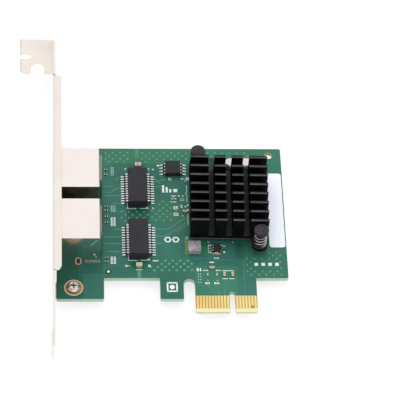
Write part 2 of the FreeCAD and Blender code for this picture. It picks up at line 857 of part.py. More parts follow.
def make_jack_housing(side):
    centre = jack_y[side]
    name = f"jack_housing_{side}"
    inset = "(shell_thick + housing_gap)"
    solid = block(
        name + "_block",
        (f"-jack_front + {inset}", f"{centre} - jack_wide / 2 + {inset}", "0"),
        (f"jack_front - jack_rear - 2 * {inset}", f"jack_wide - 2 * {inset}",
         f"jack_high - {inset}"),
    )
    port = block(name + "_port", ("-jack_front", f"{centre} - port_wide / 2", "port_base"),
                 ("port_deep", "port_wide", "port_top - port_base"))
    latch = block(name + "_latch", ("-jack_front", f"{centre} - latch_wide / 2", "latch_base"),
                  ("latch_deep", "latch_wide", "port_base - latch_base + 1"))
    comb_half = "(4 * wire_pitch + wire_channel)"
    comb = block(
        name + "_comb",
        ("-wire_nose - wire_thick - wire_channel", f"{centre} - {comb_half}", "port_top - 1"),
        ("wire_nose - wire_row_front + wire_row_gap + 2 * wire_thick + 2 * wire_channel",
         f"2 * {comb_half}", "wire_run + wire_thick + wire_channel - port_top + 1"),
    )
    shaft = block(
        name + "_shaft",
        ("-wire_row_front - wire_thick - wire_channel", f"{centre} - {comb_half}", "-1"),
        ("wire_row_gap + 2 * wire_thick + 2 * wire_channel", f"2 * {comb_half}",
         "port_top + 1"),
    )
    tools = [port, latch, comb, shaft]
    for index, left in enumerate(light_places(centre)):
        tools.append(block(f"{name}_light_{index}", ("-jack_front", left, light_base),
                           ("light_deep", "light_wide", "light_high")))
    pieces = [carved(name + "_body", solid, tools)]
    for index, sign in enumerate("+-"):
        peg = document.addObject("Part::Prism", f"{name}_peg_{index}")
        bind(peg, "Placement.Base.x", "-peg_x")
        bind(peg, "Placement.Base.y", f"{centre} {sign} peg_spread / 2")
        bind(peg, "Placement.Base.z", "-board_thick - peg_past")
        bind(peg, "Polygon", "drill_sides")
        bind(peg, "Circumradius", "peg_wide / 2")
        bind(peg, "Height", "board_thick + peg_past + latch_base")
        pieces.append(peg)
    keep(fused(name, pieces), name)
    lights = [
        block(f"jack_light_{side}_{index}", ("-jack_front", left, light_base),
              ("light_deep", "light_wide", "light_high"))
        for index, left in enumerate(light_places(centre))
    ]
    keep(together(f"jack_lights_{side}", lights), f"jack_lights_{side}")


def make_jack_contacts(side):
    # each wire rises from the board, runs forward over the port and springs back into it
    body = new_body(f"jack_contacts_{side}", many=True)
    tail = "-board_thick - wire_past"
    tip = "port_top - wire_tip_drop"
    for row, (back, offset) in enumerate((("-wire_row_front", "-2.5"),
                                          ("wire_row_gap - wire_row_front", "-3.5"))):
        first = f"{jack_y[side]} + ({offset}) * wire_pitch"
        bent = sketch_on(body, f"wire_{side}_{row}", "XZ_Plane", ("0", "0", f"-({first})"))
        outline(bent, [
            (f"{back} - wire_thick / 2", tail),
            (f"{back} + wire_thick / 2", tail),
            (f"{back} + wire_thick / 2", "wire_run + wire_thick"),
            ("-wire_nose - wire_thick", "wire_run + wire_thick"),
            ("-wire_nose - wire_thick", "wire_run - wire_thick"),
            ("-wire_tip - wire_thick", f"{tip} - wire_thick"),
            ("-wire_tip", tip),
            ("-wire_nose + wire_thick", "wire_run - wire_thick / 2"),
            ("-wire_nose + wire_thick", "wire_run"),
            (f"{back} - wire_thick / 2", "wire_run"),
        ])
        wire = pad(body, bent, "wire_thick", both=True)
        document.recompute()
        repeat(body, [wire], "Y_Axis", "2 * wire_pitch", "4")
        document.recompute()


# ---- moulded packages -------------------------------------------------------------------

def make_package(label, centre_x, centre_y, wide, long, base, seam, top):
    # two drafts meet at the seam, where the leads leave the case
    body = new_body(label)
    shape = sketch_on(body, label + "_seam", "XY_Plane", (centre_x, centre_y, seam))
    rectangle(shape, f"-({wide}) / 2", f"({wide}) / 2", f"-({long}) / 2", f"({long}) / 2")
    pad(body, shape, f"{top} - ({seam})", taper="-mould_angle")
    lower = sketch_on(body, label + "_under", "XY_Plane", (centre_x, centre_y, seam))
    rectangle(lower, f"-({wide}) / 2", f"({wide}) / 2", f"-({long}) / 2", f"({long}) / 2")
    pad(body, lower, f"({seam}) - ({base})", reverse=True, taper="-mould_angle")
    return body


def make_gull_leads(label, centre_x, centre_y, wide, span, foot, seam, pins, pitch):
    # two rows of leads: out of the seam, down to the board and out again on a flat foot
    body = new_body(label, many=True)
    shape = sketch_on(body, label + "_bend", "XZ_Plane",
                      (centre_x, "0", f"-({centre_y}) + ({pins} - 1) / 2 * {pitch}"))
    knee = f"({span} / 2 - {foot})"
    for sign in ("", "-"):
        outline(shape, [
            (f"{sign}({wide} / 2)", f"{seam} - lead_thick / 2"),
            (f"{sign}({wide} / 2)", f"{seam} + lead_thick / 2"),
            (f"{sign}({knee} - lead_thick)", f"{seam} + lead_thick / 2"),
            (f"{sign}({knee} + lead_thick)", "lead_thick"),
            (f"{sign}({span} / 2)", "lead_thick"),
            (f"{sign}({span} / 2)", "0"),
            (f"{sign}({knee})", "0"),
            (f"{sign}({knee} - 1.6 * lead_thick)", f"{seam} - lead_thick / 2"),
        ])
    lead = pad(body, shape, "lead_wide", both=True)
    document.recompute()
    repeat(body, [lead], "Y_Axis", pitch, pins)
    return body


# ---- heat sink and its fastening --------------------------------------------------------

sink_floor = "(chip_high + pad_thick)"
sink_deck = "(chip_high + pad_thick + sink_base)"


def set_on_sink(item):
    # the sink, its pins and their springs share one frame, turned a little on the board
    bind(item, "Placement.Base.x", "sink_x")
    bind(item, "Placement.Base.y", "sink_y")
    bind(item, "Placement.Rotation.Angle", "sink_turn")


def make_heat_sink():
    body = new_body("heat_sink")
    base = sketch_on(body, "sink_base_plate", "XY_Plane", ("0", "0", sink_floor))
    rectangle(base, "-sink_wide / 2", "sink_wide / 2", "-sink_long / 2", "sink_long / 2")
    pad(body, base, "sink_base")
    ears = sketch_on(body, "sink_ears", "XY_Plane", ("0", "0", sink_floor))
    rectangle(ears, "ear_x - ear_radius", "ear_x + ear_radius",
              f"-{ear_out}", "-sink_long / 2 + ear_radius")
    rectangle(ears, "-ear_x - ear_radius", "-ear_x + ear_radius",
              "sink_long / 2 - ear_radius", ear_out)
    pad(body, ears, "sink_base")
    lobes = sketch_on(body, "sink_lobes", "XY_Plane", ("0", "0", sink_floor))
    circle(lobes, "ear_x", f"-{ear_out}", "ear_radius")
    circle(lobes, "-ear_x", ear_out, "ear_radius")
    pad(body, lobes, "sink_base")
    holes = sketch_on(body, "sink_ear_holes", "XY_Plane", ("0", "0", sink_deck))
    prism_hole(holes, "ear_x", f"-{ear_out}", "ear_hole / 2")
    prism_hole(holes, "-ear_x", ear_out, "ear_hole / 2")
    pocket(body, holes)
    fin = sketch_on(body, "sink_fin", "XY_Plane", ("0", "0", sink_deck))
    rectangle(fin, "-sink_wide / 2", "sink_wide / 2",
              "-sink_long / 2", "fin_thick - sink_long / 2")
    blade = pad(body, fin, "fin_high")
    document.recompute()
    repeat(body, [blade], "Y_Axis", "(sink_long - fin_thick) / (fin_rows - 1)", "fin_rows")
    document.recompute()
    channels = sketch_on(body, "sink_channels", "XY_Plane",
                         ("0", "0", f"{sink_deck} + fin_high"))
    for index in range(int(size("fin_columns")) - 1):
        middle = f"({index} - (fin_columns - 2) / 2) * channel_pitch"
        rectangle(channels, f"{middle} - fin_gap / 2", f"{middle} + fin_gap / 2",
                  "-sink_long", "sink_long")
    pocket(body, channels, "fin_high")
    set_on_sink(body)


def make_push_pins():
    body = new_body("push_pins", many=True)
    places = (("ear_x", f"-{ear_out}"), ("-ear_x", ear_out))
    for index, (x, y) in enumerate(places):
        profile = sketch_on(body, f"pin_profile_{index}", "XZ_Plane", (x, "0", f"-({y})"))
        outline(profile, [
            ("0", "pin_top"),
            ("pin_head / 2 - pin_edge", "pin_top"),
            ("pin_head / 2", "pin_top - pin_edge"),
            ("pin_head / 2", "pin_top - pin_head_thick"),
            ("pin_shaft / 2", "pin_top - pin_head_thick"),
            ("pin_shaft / 2", "-board_thick"),
            ("pin_barb / 2", "-board_thick - pin_barb_drop / 4"),
            ("pin_shaft / 2", "-board_thick - pin_barb_drop"),
            ("pin_shaft / 4", "-board_thick - pin_tip_drop"),
            ("0", "-board_thick - pin_tip_drop"),
        ])
        turned = body.newObject("PartDesign::Revolution", f"pin_turned_{index}")
        turned.Profile = profile
        turned.ReferenceAxis = (profile, ["V_Axis"])
        turned.Angle = 360
        document.recompute()
    slits = sketch_on(body, "pin_slits", "XY_Plane",
                      ("0", "0", "-board_thick - pin_tip_drop"))
    for x, y in places:
        rectangle(slits, f"{x} - pin_slit / 2", f"{x} + pin_slit / 2",
                  f"{y} - pin_barb", f"{y} + pin_barb")
    pocket(body, slits, "pin_tip_drop + board_thick", reverse=True)
    set_on_sink(body)


def coil_wire(centre, radius, low, high, turns, wire):
    # one spring: a coil of short straight runs, swept by a five-sided wire
    runs_per_turn = 9
    wire_sides = 5
    count = int(round(turns * runs_per_turn))
    points = []
    for index in range(count + 1):
        turn = 2 * math.pi * index / runs_per_turn
        rise = low + (high - low) * index / count
        points.append(centre + FreeCAD.Vector(radius * math.cos(turn),
                                              radius * math.sin(turn), rise))
    ahead = points[1] - points[0]
    outward = FreeCAD.Vector(1, 0, 0)
    upward = ahead.cross(outward).normalize()
    outward = upward.cross(ahead).normalize()
    rim = []
    for side in range(wire_sides + 1):
        turn = 2 * math.pi * side / wire_sides
        rim.append(points[0] + outward * (wire * math.cos(turn))
                   + upward * (wire * math.sin(turn)))
    rim[-1] = rim[0]
    sweep = Part.BRepOffsetAPI.MakePipeShell(Part.makePolygon(points))
    sweep.setFrenetMode(False)
    sweep.setTransitionMode(1)
    sweep.add(Part.makePolygon(rim))
    sweep.build()
    sweep.makeSolid()
    return sweep.shape()


def make_pin_springs():
    wire = size("spring_wire") / 2
    radius = size("spring_coil") / 2
    low = size("chip_high") + size("pad_thick") + size("sink_base") + wire
    high = size("pin_top") - size("pin_head_thick") - wire
    turns = size("spring_turns")
    ear_y = size("sink_long") / 2 + size("pin_head") / 2 + size("pin_clear")
    coils = []
    for side in (1, -1):
        centre = FreeCAD.Vector(side * size("ear_x"), -side * ear_y, 0)
        coils.append(coil_wire(centre, radius, low, high, turns, wire))
    springs = document.addObject("Part::Feature", "pin_springs")
    springs.Shape = Part.makeCompound(coils)
    set_on_sink(springs)
    keep(springs, "pin_springs")


# ---- other parts on the board -----------------------------------------------------------

def make_controller():
    keep(block("controller_chip",
               ("sink_x - chip_wide / 2", "sink_y - chip_wide / 2", "0"),
               ("chip_wide", "chip_wide", "chip_high")), "controller_chip")
    keep(block("thermal_pad",
               ("sink_x - pad_wide / 2", "sink_y - pad_wide / 2", "chip_high"),
               ("pad_wide", "pad_wide", "pad_thick")), "thermal_pad")


def make_inductor():
    body = new_body("power_inductor")
    shape = sketch_on(body, "inductor_block", "XY_Plane",
                      ("-inductor_x", inductor_y, "terminal_thick"))
    rectangle(shape, "-inductor_wide / 2", "inductor_wide / 2",
              "-inductor_wide / 2", "inductor_wide / 2")
    pad(body, shape, "inductor_high - terminal_thick")
    round_edges(body, "inductor_corners", "inductor_edge",
                lambda edge: edge.BoundBox.ZLength > size("terminal_thick"))
    feet = []
    for side in (-1, 1):
        foot = block(f"inductor_foot_{side + 1}",
                     (f"-inductor_x + {side} * inductor_wide / 2 - ({side} + 1) / 2"
                      " * inductor_wide / 4", f"{inductor_y} - terminal_wide / 2", "0"),
                     ("inductor_wide / 4", "terminal_wide", "terminal_thick"))
        rise = block(f"inductor_rise_{side + 1}",
                     (f"-inductor_x + {side} * inductor_wide / 2 + ({side} - 1) / 2"
                      " * terminal_thick", f"{inductor_y} - terminal_wide / 2", "0"),
                     ("terminal_thick", "terminal_wide", "inductor_high / 2"))
        feet.append(fused(f"inductor_terminal_{side + 1}", [foot, rise]))
    keep(together("inductor_terminals", feet), "inductor_terminals")


def make_crystal():
    keep(block("crystal_base",
               ("crystal_x - crystal_long / 2 - crystal_rim",
                f"{crystal_y} - crystal_wide / 2 - crystal_rim", "0"),
               ("crystal_long + 2 * crystal_rim", "crystal_wide + 2 * crystal_rim",
                "crystal_base")), "crystal_base")
    body = new_body("crystal_can")
    middle = sketch_on(body, "crystal_middle", "XY_Plane",
                       ("crystal_x", crystal_y, "crystal_base"))
    rectangle(middle, "-(crystal_long - crystal_wide) / 2",
              "(crystal_long - crystal_wide) / 2",
              "-crystal_wide / 2", "crystal_wide / 2")
    pad(body, middle, "crystal_high - crystal_base")
    ends = sketch_on(body, "crystal_ends", "XY_Plane",
                     ("crystal_x", crystal_y, "crystal_base"))
    circle(ends, "-(crystal_long - crystal_wide) / 2", "0", "crystal_wide / 2")
    circle(ends, "(crystal_long - crystal_wide) / 2", "0", "crystal_wide / 2")
    pad(body, ends, "crystal_high - crystal_base")
    document.recompute()
    top = size("crystal_high")
    can = body.Tip
    rim = [
        f"Edge{number}"
        for number, edge in enumerate(can.Shape.Edges, start=1)
        if edge.BoundBox.ZMin > top - 0.01
    ]
    bevel = body.newObject("PartDesign::Chamfer", "crystal_top_edge")
    bevel.Base = (can, rim)
    bind(bevel, "Size", "crystal_edge")


def make_chip_parts(label, places):
    # ceramic bodies share one node and their plated ends another
    bodies = []
    ends = []
    for index, (x, y, case, direction) in enumerate(places):
        long, wide, high = f"{case}_long", f"{case}_wide", f"{case}_high"
        middle = f"({long} - 2 * chip_end)"
        for part, shift in (("body", "0"), ("first", f"-({long} - chip_end) / 2"),
                            ("last", f"({long} - chip_end) / 2")):
            length = middle if part == "body" else "chip_end"
            along = f"{shift} - {length} / 2"
            across = f"-{wide} / 2"
            if direction == "x":
                low = (f"{x} + {along}", f"{y} + {across}", "0")
                spans = (length, wide, high)
            else:
                low = (f"{x} + {across}", f"{y} + {along}", "0")
                spans = (wide, length, high)
            piece = block(f"{label}_{part}_{index}", low, spans)
            (bodies if part == "body" else ends).append(piece)
    keep(together(f"{label}_bodies", bodies), f"{label}_bodies")
    keep(together(f"{label}_ends", ends), f"{label}_ends")


def make_label():
    body = new_body("blank_label")
    shape = sketch_on(body, "label_outline", "XY_Plane")
    rectangle(shape, "label_left", "label_right", "label_bottom", "label_top")
    pad(body, shape, "label_thick")
    corners = [(size(f"label_{x}"), size(f"label_{y}"))
               for x in ("left", "right") for y in ("bottom", "top")]
    round_edges(body, "label_corners", "label_corner",
                lambda edge: is_upright(edge, "z", corners))


# ---- the whole card ---------------------------------------------------------------------

make_board()
make_plated_rings()
make_edge_contacts("edge_contacts_front", under=False)
make_edge_contacts("edge_contacts_back", under=True)
make_bracket()
make_bracket_screws()
for side in ("lower", "upper"):
    make_jack_shell(side)
    make_jack_housing(side)
    make_jack_contacts(side)
    make_package(f"magnetics_{side}", "-magnetics_x", f"magnetics_{side}_y",
                 "magnetics_wide", "magnetics_long", "magnetics_clear",
                 "magnetics_seam", "magnetics_high")
    make_gull_leads(f"magnetics_leads_{side}", "-magnetics_x", f"magnetics_{side}_y",
                    "magnetics_wide", "magnetics_span", "magnetics_foot",
                    "magnetics_seam", "magnetics_pins", "magnetics_pitch")
make_controller()
make_heat_sink()
make_push_pins()
make_pin_springs()
make_package("flash_chip", "-flash_x", "flash_y", "flash_wide", "flash_wide",
             "flash_clear", "flash_seam", "flash_high")
make_gull_leads("flash_leads", "-flash_x", "flash_y", "flash_wide", "flash_span",
                "flash_foot", "flash_seam", "flash_pins", "flash_pitch")
make_package("regulator", "-regulator_x", regulator_y, "regulator_wide",
             "regulator_long", "flash_clear", "regulator_seam", "regulator_high")
make_gull_leads("regulator_leads", "-regulator_x", regulator_y, "regulator_wide",
                "regulator_span", "regulator_foot", "regulator_seam", "regulator_pins",
                "regulator_pitch")
make_inductor()
make_crystal()
make_chip_parts("capacitor", capacitor_places)
make_chip_parts("resistor", resistor_places)
make_label()

document.recompute()
for item in document.Objects:
    if "Invalid" in item.State or "Error" in item.State:
        raise ValueError(item.Name + " did not build")
for item in sub_parts:
    if item.Shape.isNull() or not item.Shape.isValid():
        raise ValueError(item.Label + " has no sound shape")

os.makedirs("parts", exist_ok=True)
for item in sub_parts:
    item.Shape.exportStep(f"parts/{item.Label}.step")
    box = item.Shape.BoundBox
    print(f"{item.Label}: {len(item.Shape.Solids)} solids, {box.XLength:.2f} x "
          f"{box.YLength:.2f} x {box.ZLength:.2f}")
print(f"{len(sub_parts)} sub-parts written")
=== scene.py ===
import math

import bmesh
import bpy
from mathutils import Matrix, Vector


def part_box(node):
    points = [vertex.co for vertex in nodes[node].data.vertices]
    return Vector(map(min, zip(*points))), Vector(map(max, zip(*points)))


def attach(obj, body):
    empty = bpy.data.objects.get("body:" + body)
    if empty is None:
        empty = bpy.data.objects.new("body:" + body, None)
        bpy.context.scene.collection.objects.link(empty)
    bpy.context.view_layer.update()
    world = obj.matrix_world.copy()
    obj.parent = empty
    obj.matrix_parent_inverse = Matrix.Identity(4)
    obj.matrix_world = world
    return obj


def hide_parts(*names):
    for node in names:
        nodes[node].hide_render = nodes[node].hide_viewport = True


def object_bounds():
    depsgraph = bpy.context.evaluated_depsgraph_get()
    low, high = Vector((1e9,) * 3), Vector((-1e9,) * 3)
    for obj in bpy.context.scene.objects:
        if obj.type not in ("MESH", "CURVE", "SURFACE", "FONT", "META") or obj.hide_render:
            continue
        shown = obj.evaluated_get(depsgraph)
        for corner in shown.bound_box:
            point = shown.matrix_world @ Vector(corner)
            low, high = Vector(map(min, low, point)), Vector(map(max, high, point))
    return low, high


mm = 0.001
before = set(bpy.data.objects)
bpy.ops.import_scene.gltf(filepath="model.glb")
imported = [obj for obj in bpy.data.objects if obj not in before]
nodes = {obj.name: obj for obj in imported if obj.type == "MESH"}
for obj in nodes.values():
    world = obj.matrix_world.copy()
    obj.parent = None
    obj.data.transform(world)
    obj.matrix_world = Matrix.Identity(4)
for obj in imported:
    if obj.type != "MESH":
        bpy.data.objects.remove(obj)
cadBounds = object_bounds()
print("frame loaded:", len(nodes), "nodes")


class Wire:
    # one socket of a shader, so that sums are written as sums
    def __init__(self, finish, socket):
        self.finish = finish
        self.socket = socket

    def sum(self, operation, *others):
        values = [self if item is None else item for item in others]
        return self.finish.node("ShaderNodeMath", {"operation": operation},
                                dict(enumerate(values)))

    def __add__(self, other):
        return self.sum("ADD", None, other)

    def __sub__(self, other):
        return self.sum("SUBTRACT", None, other)

    def __rsub__(self, other):
        return self.sum("SUBTRACT", other, None)

    def __mul__(self, other):
        return self.sum("MULTIPLY", None, other)

    def __truediv__(self, other):
        return self.sum("DIVIDE", None, other)

    def __gt__(self, other):
        return self.sum("GREATER_THAN", None, other)

    def __lt__(self, other):
        return self.sum("LESS_THAN", None, other)

    def __abs__(self):
        return self.sum("ABSOLUTE", None)

    __radd__ = __add__
    __rmul__ = __mul__


class Finish:
    # a material: what is the same all over goes straight on the shader's sockets
    def __init__(self, name, **constants):
        self.material = bpy.data.materials.new(name)
        self.material.use_nodes = True
        self.tree = self.material.node_tree
        self.shader = self.tree.nodes["Principled BSDF"]
        for socket, value in constants.items():
            self.shader.inputs[socket.replace("_", " ")].default_value = value
        self.place = self.node("ShaderNodeTexCoord", {}, {}, output="Object")

    def node(self, kind, settings, sockets, output=0):
        made = self.tree.nodes.new(kind)
        for name, value in settings.items():
            setattr(made, name, value)
        for name, value in sockets.items():
            if isinstance(value, Wire):
                self.tree.links.new(value.socket, made.inputs[name])
            else:
                made.inputs[name].default_value = value
        return Wire(self, made.outputs[output])

    def feed(self, socket, wire):
        self.tree.links.new(wire.socket, self.shader.inputs[socket])

    def axes(self):
        split = self.tree.nodes.new("ShaderNodeSeparateXYZ")
        self.tree.links.new(self.place.socket, split.inputs[0])
        return [Wire(self, output) for output in split.outputs]

    def facing(self, axis=2):
        # how far a face looks along an axis; along Z, 1 is up off the board
        normal = self.node("ShaderNodeTexCoord", {}, {}, output="Normal")
        split = self.tree.nodes.new("ShaderNodeSeparateXYZ")
        self.tree.links.new(normal.socket, split.inputs[0])
        return Wire(self, split.outputs[axis])

    def noise(self, scale, detail=2.0, rough=0.5, stretch=(1, 1, 1)):
        turned = self.node("ShaderNodeMapping", {}, {"Vector": self.place, "Scale": stretch})
        return self.node("ShaderNodeTexNoise", {}, {
            "Vector": turned, "Scale": scale, "Detail": detail, "Roughness": rough,
        })

    def range(self, wire, low, high, toLow=0.0, toHigh=1.0):
        return self.node("ShaderNodeMapRange", {}, {
            "Value": wire, "From Min": low, "From Max": high,
            "To Min": toLow, "To Max": toHigh,
        })

    def mix(self, factor, first, second):
        return self.node("ShaderNodeMix", {"data_type": "RGBA"},
                         {0: factor, 6: first, 7: second}, output=2)

    def bump(self, wire, distance, strength=1.0):
        self.feed("Normal", self.node("ShaderNodeBump", {}, {
            "Height": wire, "Distance": distance, "Strength": strength,
        }))


def shade(red, green, blue):
    # a colour as it is seen, 0 to 255, made linear
    linear = [((value / 255 + 0.055) / 1.055) ** 2.4 if value > 10 else value / 255 / 12.92
              for value in (red, green, blue)]
    return (*linear, 1.0)


def dress(nodeName, finish):
    node = nodes[nodeName]
    for slot in node.material_slots:
        slot.material = finish.material


boardLow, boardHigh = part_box("pcb")
boardCorner = Vector((boardLow[0] / mm, boardLow[1] / mm))  # lower left corner, in mm

maskLook = {
    "base": shade(50, 110, 98),
    "deep": shade(40, 98, 84),
    "pour": shade(58, 116, 92),
    "cut": shade(188, 212, 194),
    "bare": shade(172, 134, 74),
    "bevel": shade(238, 226, 176),
    "tongue": 6.25,
    "bevelTop": 1.25,
    "tongueSpan": (45.3, 66.3),  # from the board's left edge
    "soften": 0.25,
    # each field: left, right, bottom and top from the board's lower left corner in mm, how
    # strong it shows, and its colour; the seven dark ones on the foot, between the jacks,
    # between and under the transformers and by the two push pins are painted shade, the other
    # nine are copper fields and stripes
    "poursAndShade": [
        (16.2, 77.0, 59.9, 66.4, 0.60, shade(56, 116, 86)),
        (26.7, 28.0, 62.2, 66.4, 0.50, shade(72, 152, 108)),
        # painted shade: the two dark fields on the foot, then between the jacks, between the
        # transformers and under the lower transformer
        (-0.2, 15.4, 4.0, 28.0, 0.60, shade(12, 84, 66)),
        (-0.2, 7.3, 11.0, 28.0, 0.60, shade(10, 70, 50)),
        (-0.2, 15.6, 35.2, 41.2, 0.92, shade(22, 22, 12)),
        (23.6, 31.2, 35.2, 41.0, 0.85, shade(12, 84, 58)),
        (24.2, 31.6, 16.6, 20.1, 0.65, shade(14, 100, 62)),
        (26.8, 27.8, 12.9, 16.4, 0.55, shade(100, 176, 136)),
        # painted shade by the lower push pin and by the upper push pin
        (59.6, 62.7, 21.0, 27.6, 0.60, shade(20, 86, 62)),
        (51.2, 54.5, 55.4, 62.4, 0.80, shade(16, 24, 22)),
        (8.8, 15.8, 4.0, 15.0, 0.30, shade(70, 124, 118)),
        (42.8, 43.9, 22.6, 29.8, 0.75, shade(112, 150, 82)),
        (48.1, 50.1, 23.2, 25.9, 0.85, shade(30, 138, 74)),
        (45.6, 59.8, 6.2, 17.8, 0.28, shade(60, 138, 96)),
        (62.2, 76.8, 13.0, 27.6, 0.25, shade(58, 116, 86)),
        (33.6, 44.2, 35.4, 44.6, 0.30, shade(62, 116, 78)),
    ],
}


def makeBoardMask():
    # solder mask over copper fields, with painted shade in seven dark fields, cut glass-fibre
    # sides and the bare strip between contacts
    look = maskLook
    finish = Finish("boardMask", Roughness=0.36, IOR=1.32)
    x, y, z = finish.axes()
    across, along = x / mm - boardCorner.x, y / mm - boardCorner.y
    soften = look["soften"]
    cloud = finish.range(finish.noise(45, 3.0), 0.38, 0.64)
    fine = finish.range(finish.noise(520, 2.0), 0.3, 0.7)
    tone = finish.mix(cloud, look["base"], look["deep"])
    onFront = z > boardLow[2] / 2
    for left, right, bottom, top, strength, colour in look["poursAndShade"]:
        inside = (finish.range(across, left - soften, left + soften)
                  * finish.range(across, right + soften, right - soften)
                  * finish.range(along, bottom - soften, bottom + soften)
                  * finish.range(along, top + soften, top - soften))
        tone = finish.mix(inside * onFront * strength, tone, colour)
    tone = finish.mix(fine * 0.14, tone, look["pour"])
    tongueLeft, tongueRight = look["tongueSpan"]
    inTongue = (along < look["tongue"]) * (across > tongueLeft) * (across < tongueRight)
    tone = finish.mix(inTongue, tone, look["bare"])
    tone = finish.mix(along < look["bevelTop"], tone, look["bevel"])
    side = abs(finish.facing()) < 0.5
    tone = finish.mix(side, tone, look["cut"])
    finish.feed("Base Color", tone)
    finish.feed("Roughness", finish.range(cloud, 0, 1, 0.32, 0.42) + side * 0.4)
    finish.bump(fine, 0.00001, 0.3)
    return finish


# side: how bright the faces that don't look up are kept, a painted shade on the sides
metalLooks = {
    "bracketSteel": {"tone": shade(245, 237, 230), "dull": shade(238, 229, 221), "rough": 0.30,
                     "grain": (60, 4, 60), "side": 1.0},
    "shellSteel": {"tone": shade(249, 240, 236), "dull": shade(245, 235, 230), "rough": 0.17,
                   "grain": (8, 8, 8), "side": 1.0},
    "contactGold": {"tone": shade(250, 230, 158), "dull": shade(238, 208, 124), "rough": 0.24,
                    "grain": (30, 8, 30), "side": 0.8},
    "ringGold": {"tone": shade(206, 184, 138), "dull": shade(156, 118, 74), "rough": 0.34,
                 "grain": (30, 30, 30), "side": 0.7},
    "tinPlate": {"tone": shade(226, 230, 228), "dull": shade(190, 196, 192), "rough": 0.3,
                 "grain": (40, 40, 40), "side": 0.55},
    "leadTin": {"tone": shade(246, 248, 246), "dull": shade(222, 228, 226), "rough": 0.3,
                "grain": (40, 40, 40), "side": 0.16},
    "springSteel": {"tone": shade(236, 230, 220), "dull": shade(200, 192, 182), "rough": 0.16,
                    "grain": (30, 30, 30), "side": 1.0},
    "crystalCan": {"tone": shade(232, 222, 216), "dull": shade(206, 194, 188), "rough": 0.24,
                   "grain": (10, 10, 10), "side": 0.8},
}


# painted shade: darker tones on faces square to X, on the bend at a jack's rear and on the
# bracket's rim, each with its place in X in mm and how strong it shows
endShadeLooks = {
    "bracketSteel": {"tone": shade(168, 160, 152), "edge": 0.3, "bendFrom": 0.0, "bend": 0.0,
                     "rimTo": -70.0, "rim": 0.35},
    "shellSteel": {"tone": shade(132, 118, 112), "edge": 0.2, "bendFrom": -43.75, "bend": 0.9,
                   "rimTo": 0.0, "rim": 0.0},
}


def makeMetal(name):
    look = metalLooks[name]
    finish = Finish(name, Metallic=1.0)
    drift = finish.range(finish.noise(70, 3.0), 0.35, 0.7)
    grain = finish.noise(50, 2.0, 0.6, look["grain"])
    tone = finish.mix(drift, look["tone"], look["dull"])
    if name in endShadeLooks:
        end = endShadeLooks[name]
        x, y, z = finish.axes()
        # painted shade on faces square to X, on the bracket's rim and on the jack's rear bend
        squareShade = finish.range(abs(finish.facing(0)), 0.35, 0.8) * end["edge"]
        tone = finish.mix(squareShade, tone, end["tone"])
        if end["rim"]:
            tone = finish.mix((x / mm < end["rimTo"]) * end["rim"], tone, end["tone"])
        if end["bend"]:
            bend = (x / mm > end["bendFrom"]) * finish.range(finish.facing(), 0.2, 0.6)
            tone = finish.mix(bend * end["bend"], tone, end["tone"])
    if look["side"] < 1.0:
        # the sides of plated parts are made darker than their tops: painted shade, and in part
        # the duller cut edges
        lightByFacing = finish.range(finish.facing(), 0.5, 0.9, look["side"], 1.0)
        tone = finish.node("ShaderNodeVectorMath", {"operation": "SCALE"},
                           {0: tone, "Scale": lightByFacing})
    finish.feed("Base Color", tone)
    finish.feed("Roughness", finish.range(grain, 0.3, 0.7, look["rough"] * 0.8,
                                          look["rough"] * 1.3))
    finish.bump(grain, 0.000004, 0.5)
    return finish


screwLook = {"tone": shade(244, 240, 234), "dull": shade(184, 176, 166), "recess": 0.28 * mm,
             "upper": shade(70, 66, 58), "split": 30.0, "lowest": 0.2 * mm,
             "cross": shade(40, 36, 34)}


def makeScrewSteel():
    # plated screws, with painted shade down in the cross; the upper one is made dark, painted
    # shade for the dark gap between the jacks
    finish = Finish("screwSteel", Metallic=1.0)
    x, y, z = finish.axes()
    grain = finish.noise(900, 2.0, 0.6)
    tone = finish.mix(finish.range(grain, 0.35, 0.65), screwLook["tone"], screwLook["dull"])
    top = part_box("bracket_screws")[1][2]
    # painted shade in the cross recess
    deep = (z < top - screwLook["recess"]) * finish.range(finish.facing(), 0.7, 0.95)
    tone = finish.mix(deep * (z > screwLook["lowest"]) * 0.85, tone, screwLook["cross"])
    # painted shade: the screw past split in Y, the upper one, gets the dark tone
    tone = finish.mix(y / mm > screwLook["split"], tone, screwLook["upper"])
    finish.feed("Base Color", tone)
    finish.feed("Roughness", finish.range(grain, 0.3, 0.7, 0.2, 0.34))
    finish.bump(grain, 0.000006, 0.5)
    return finish


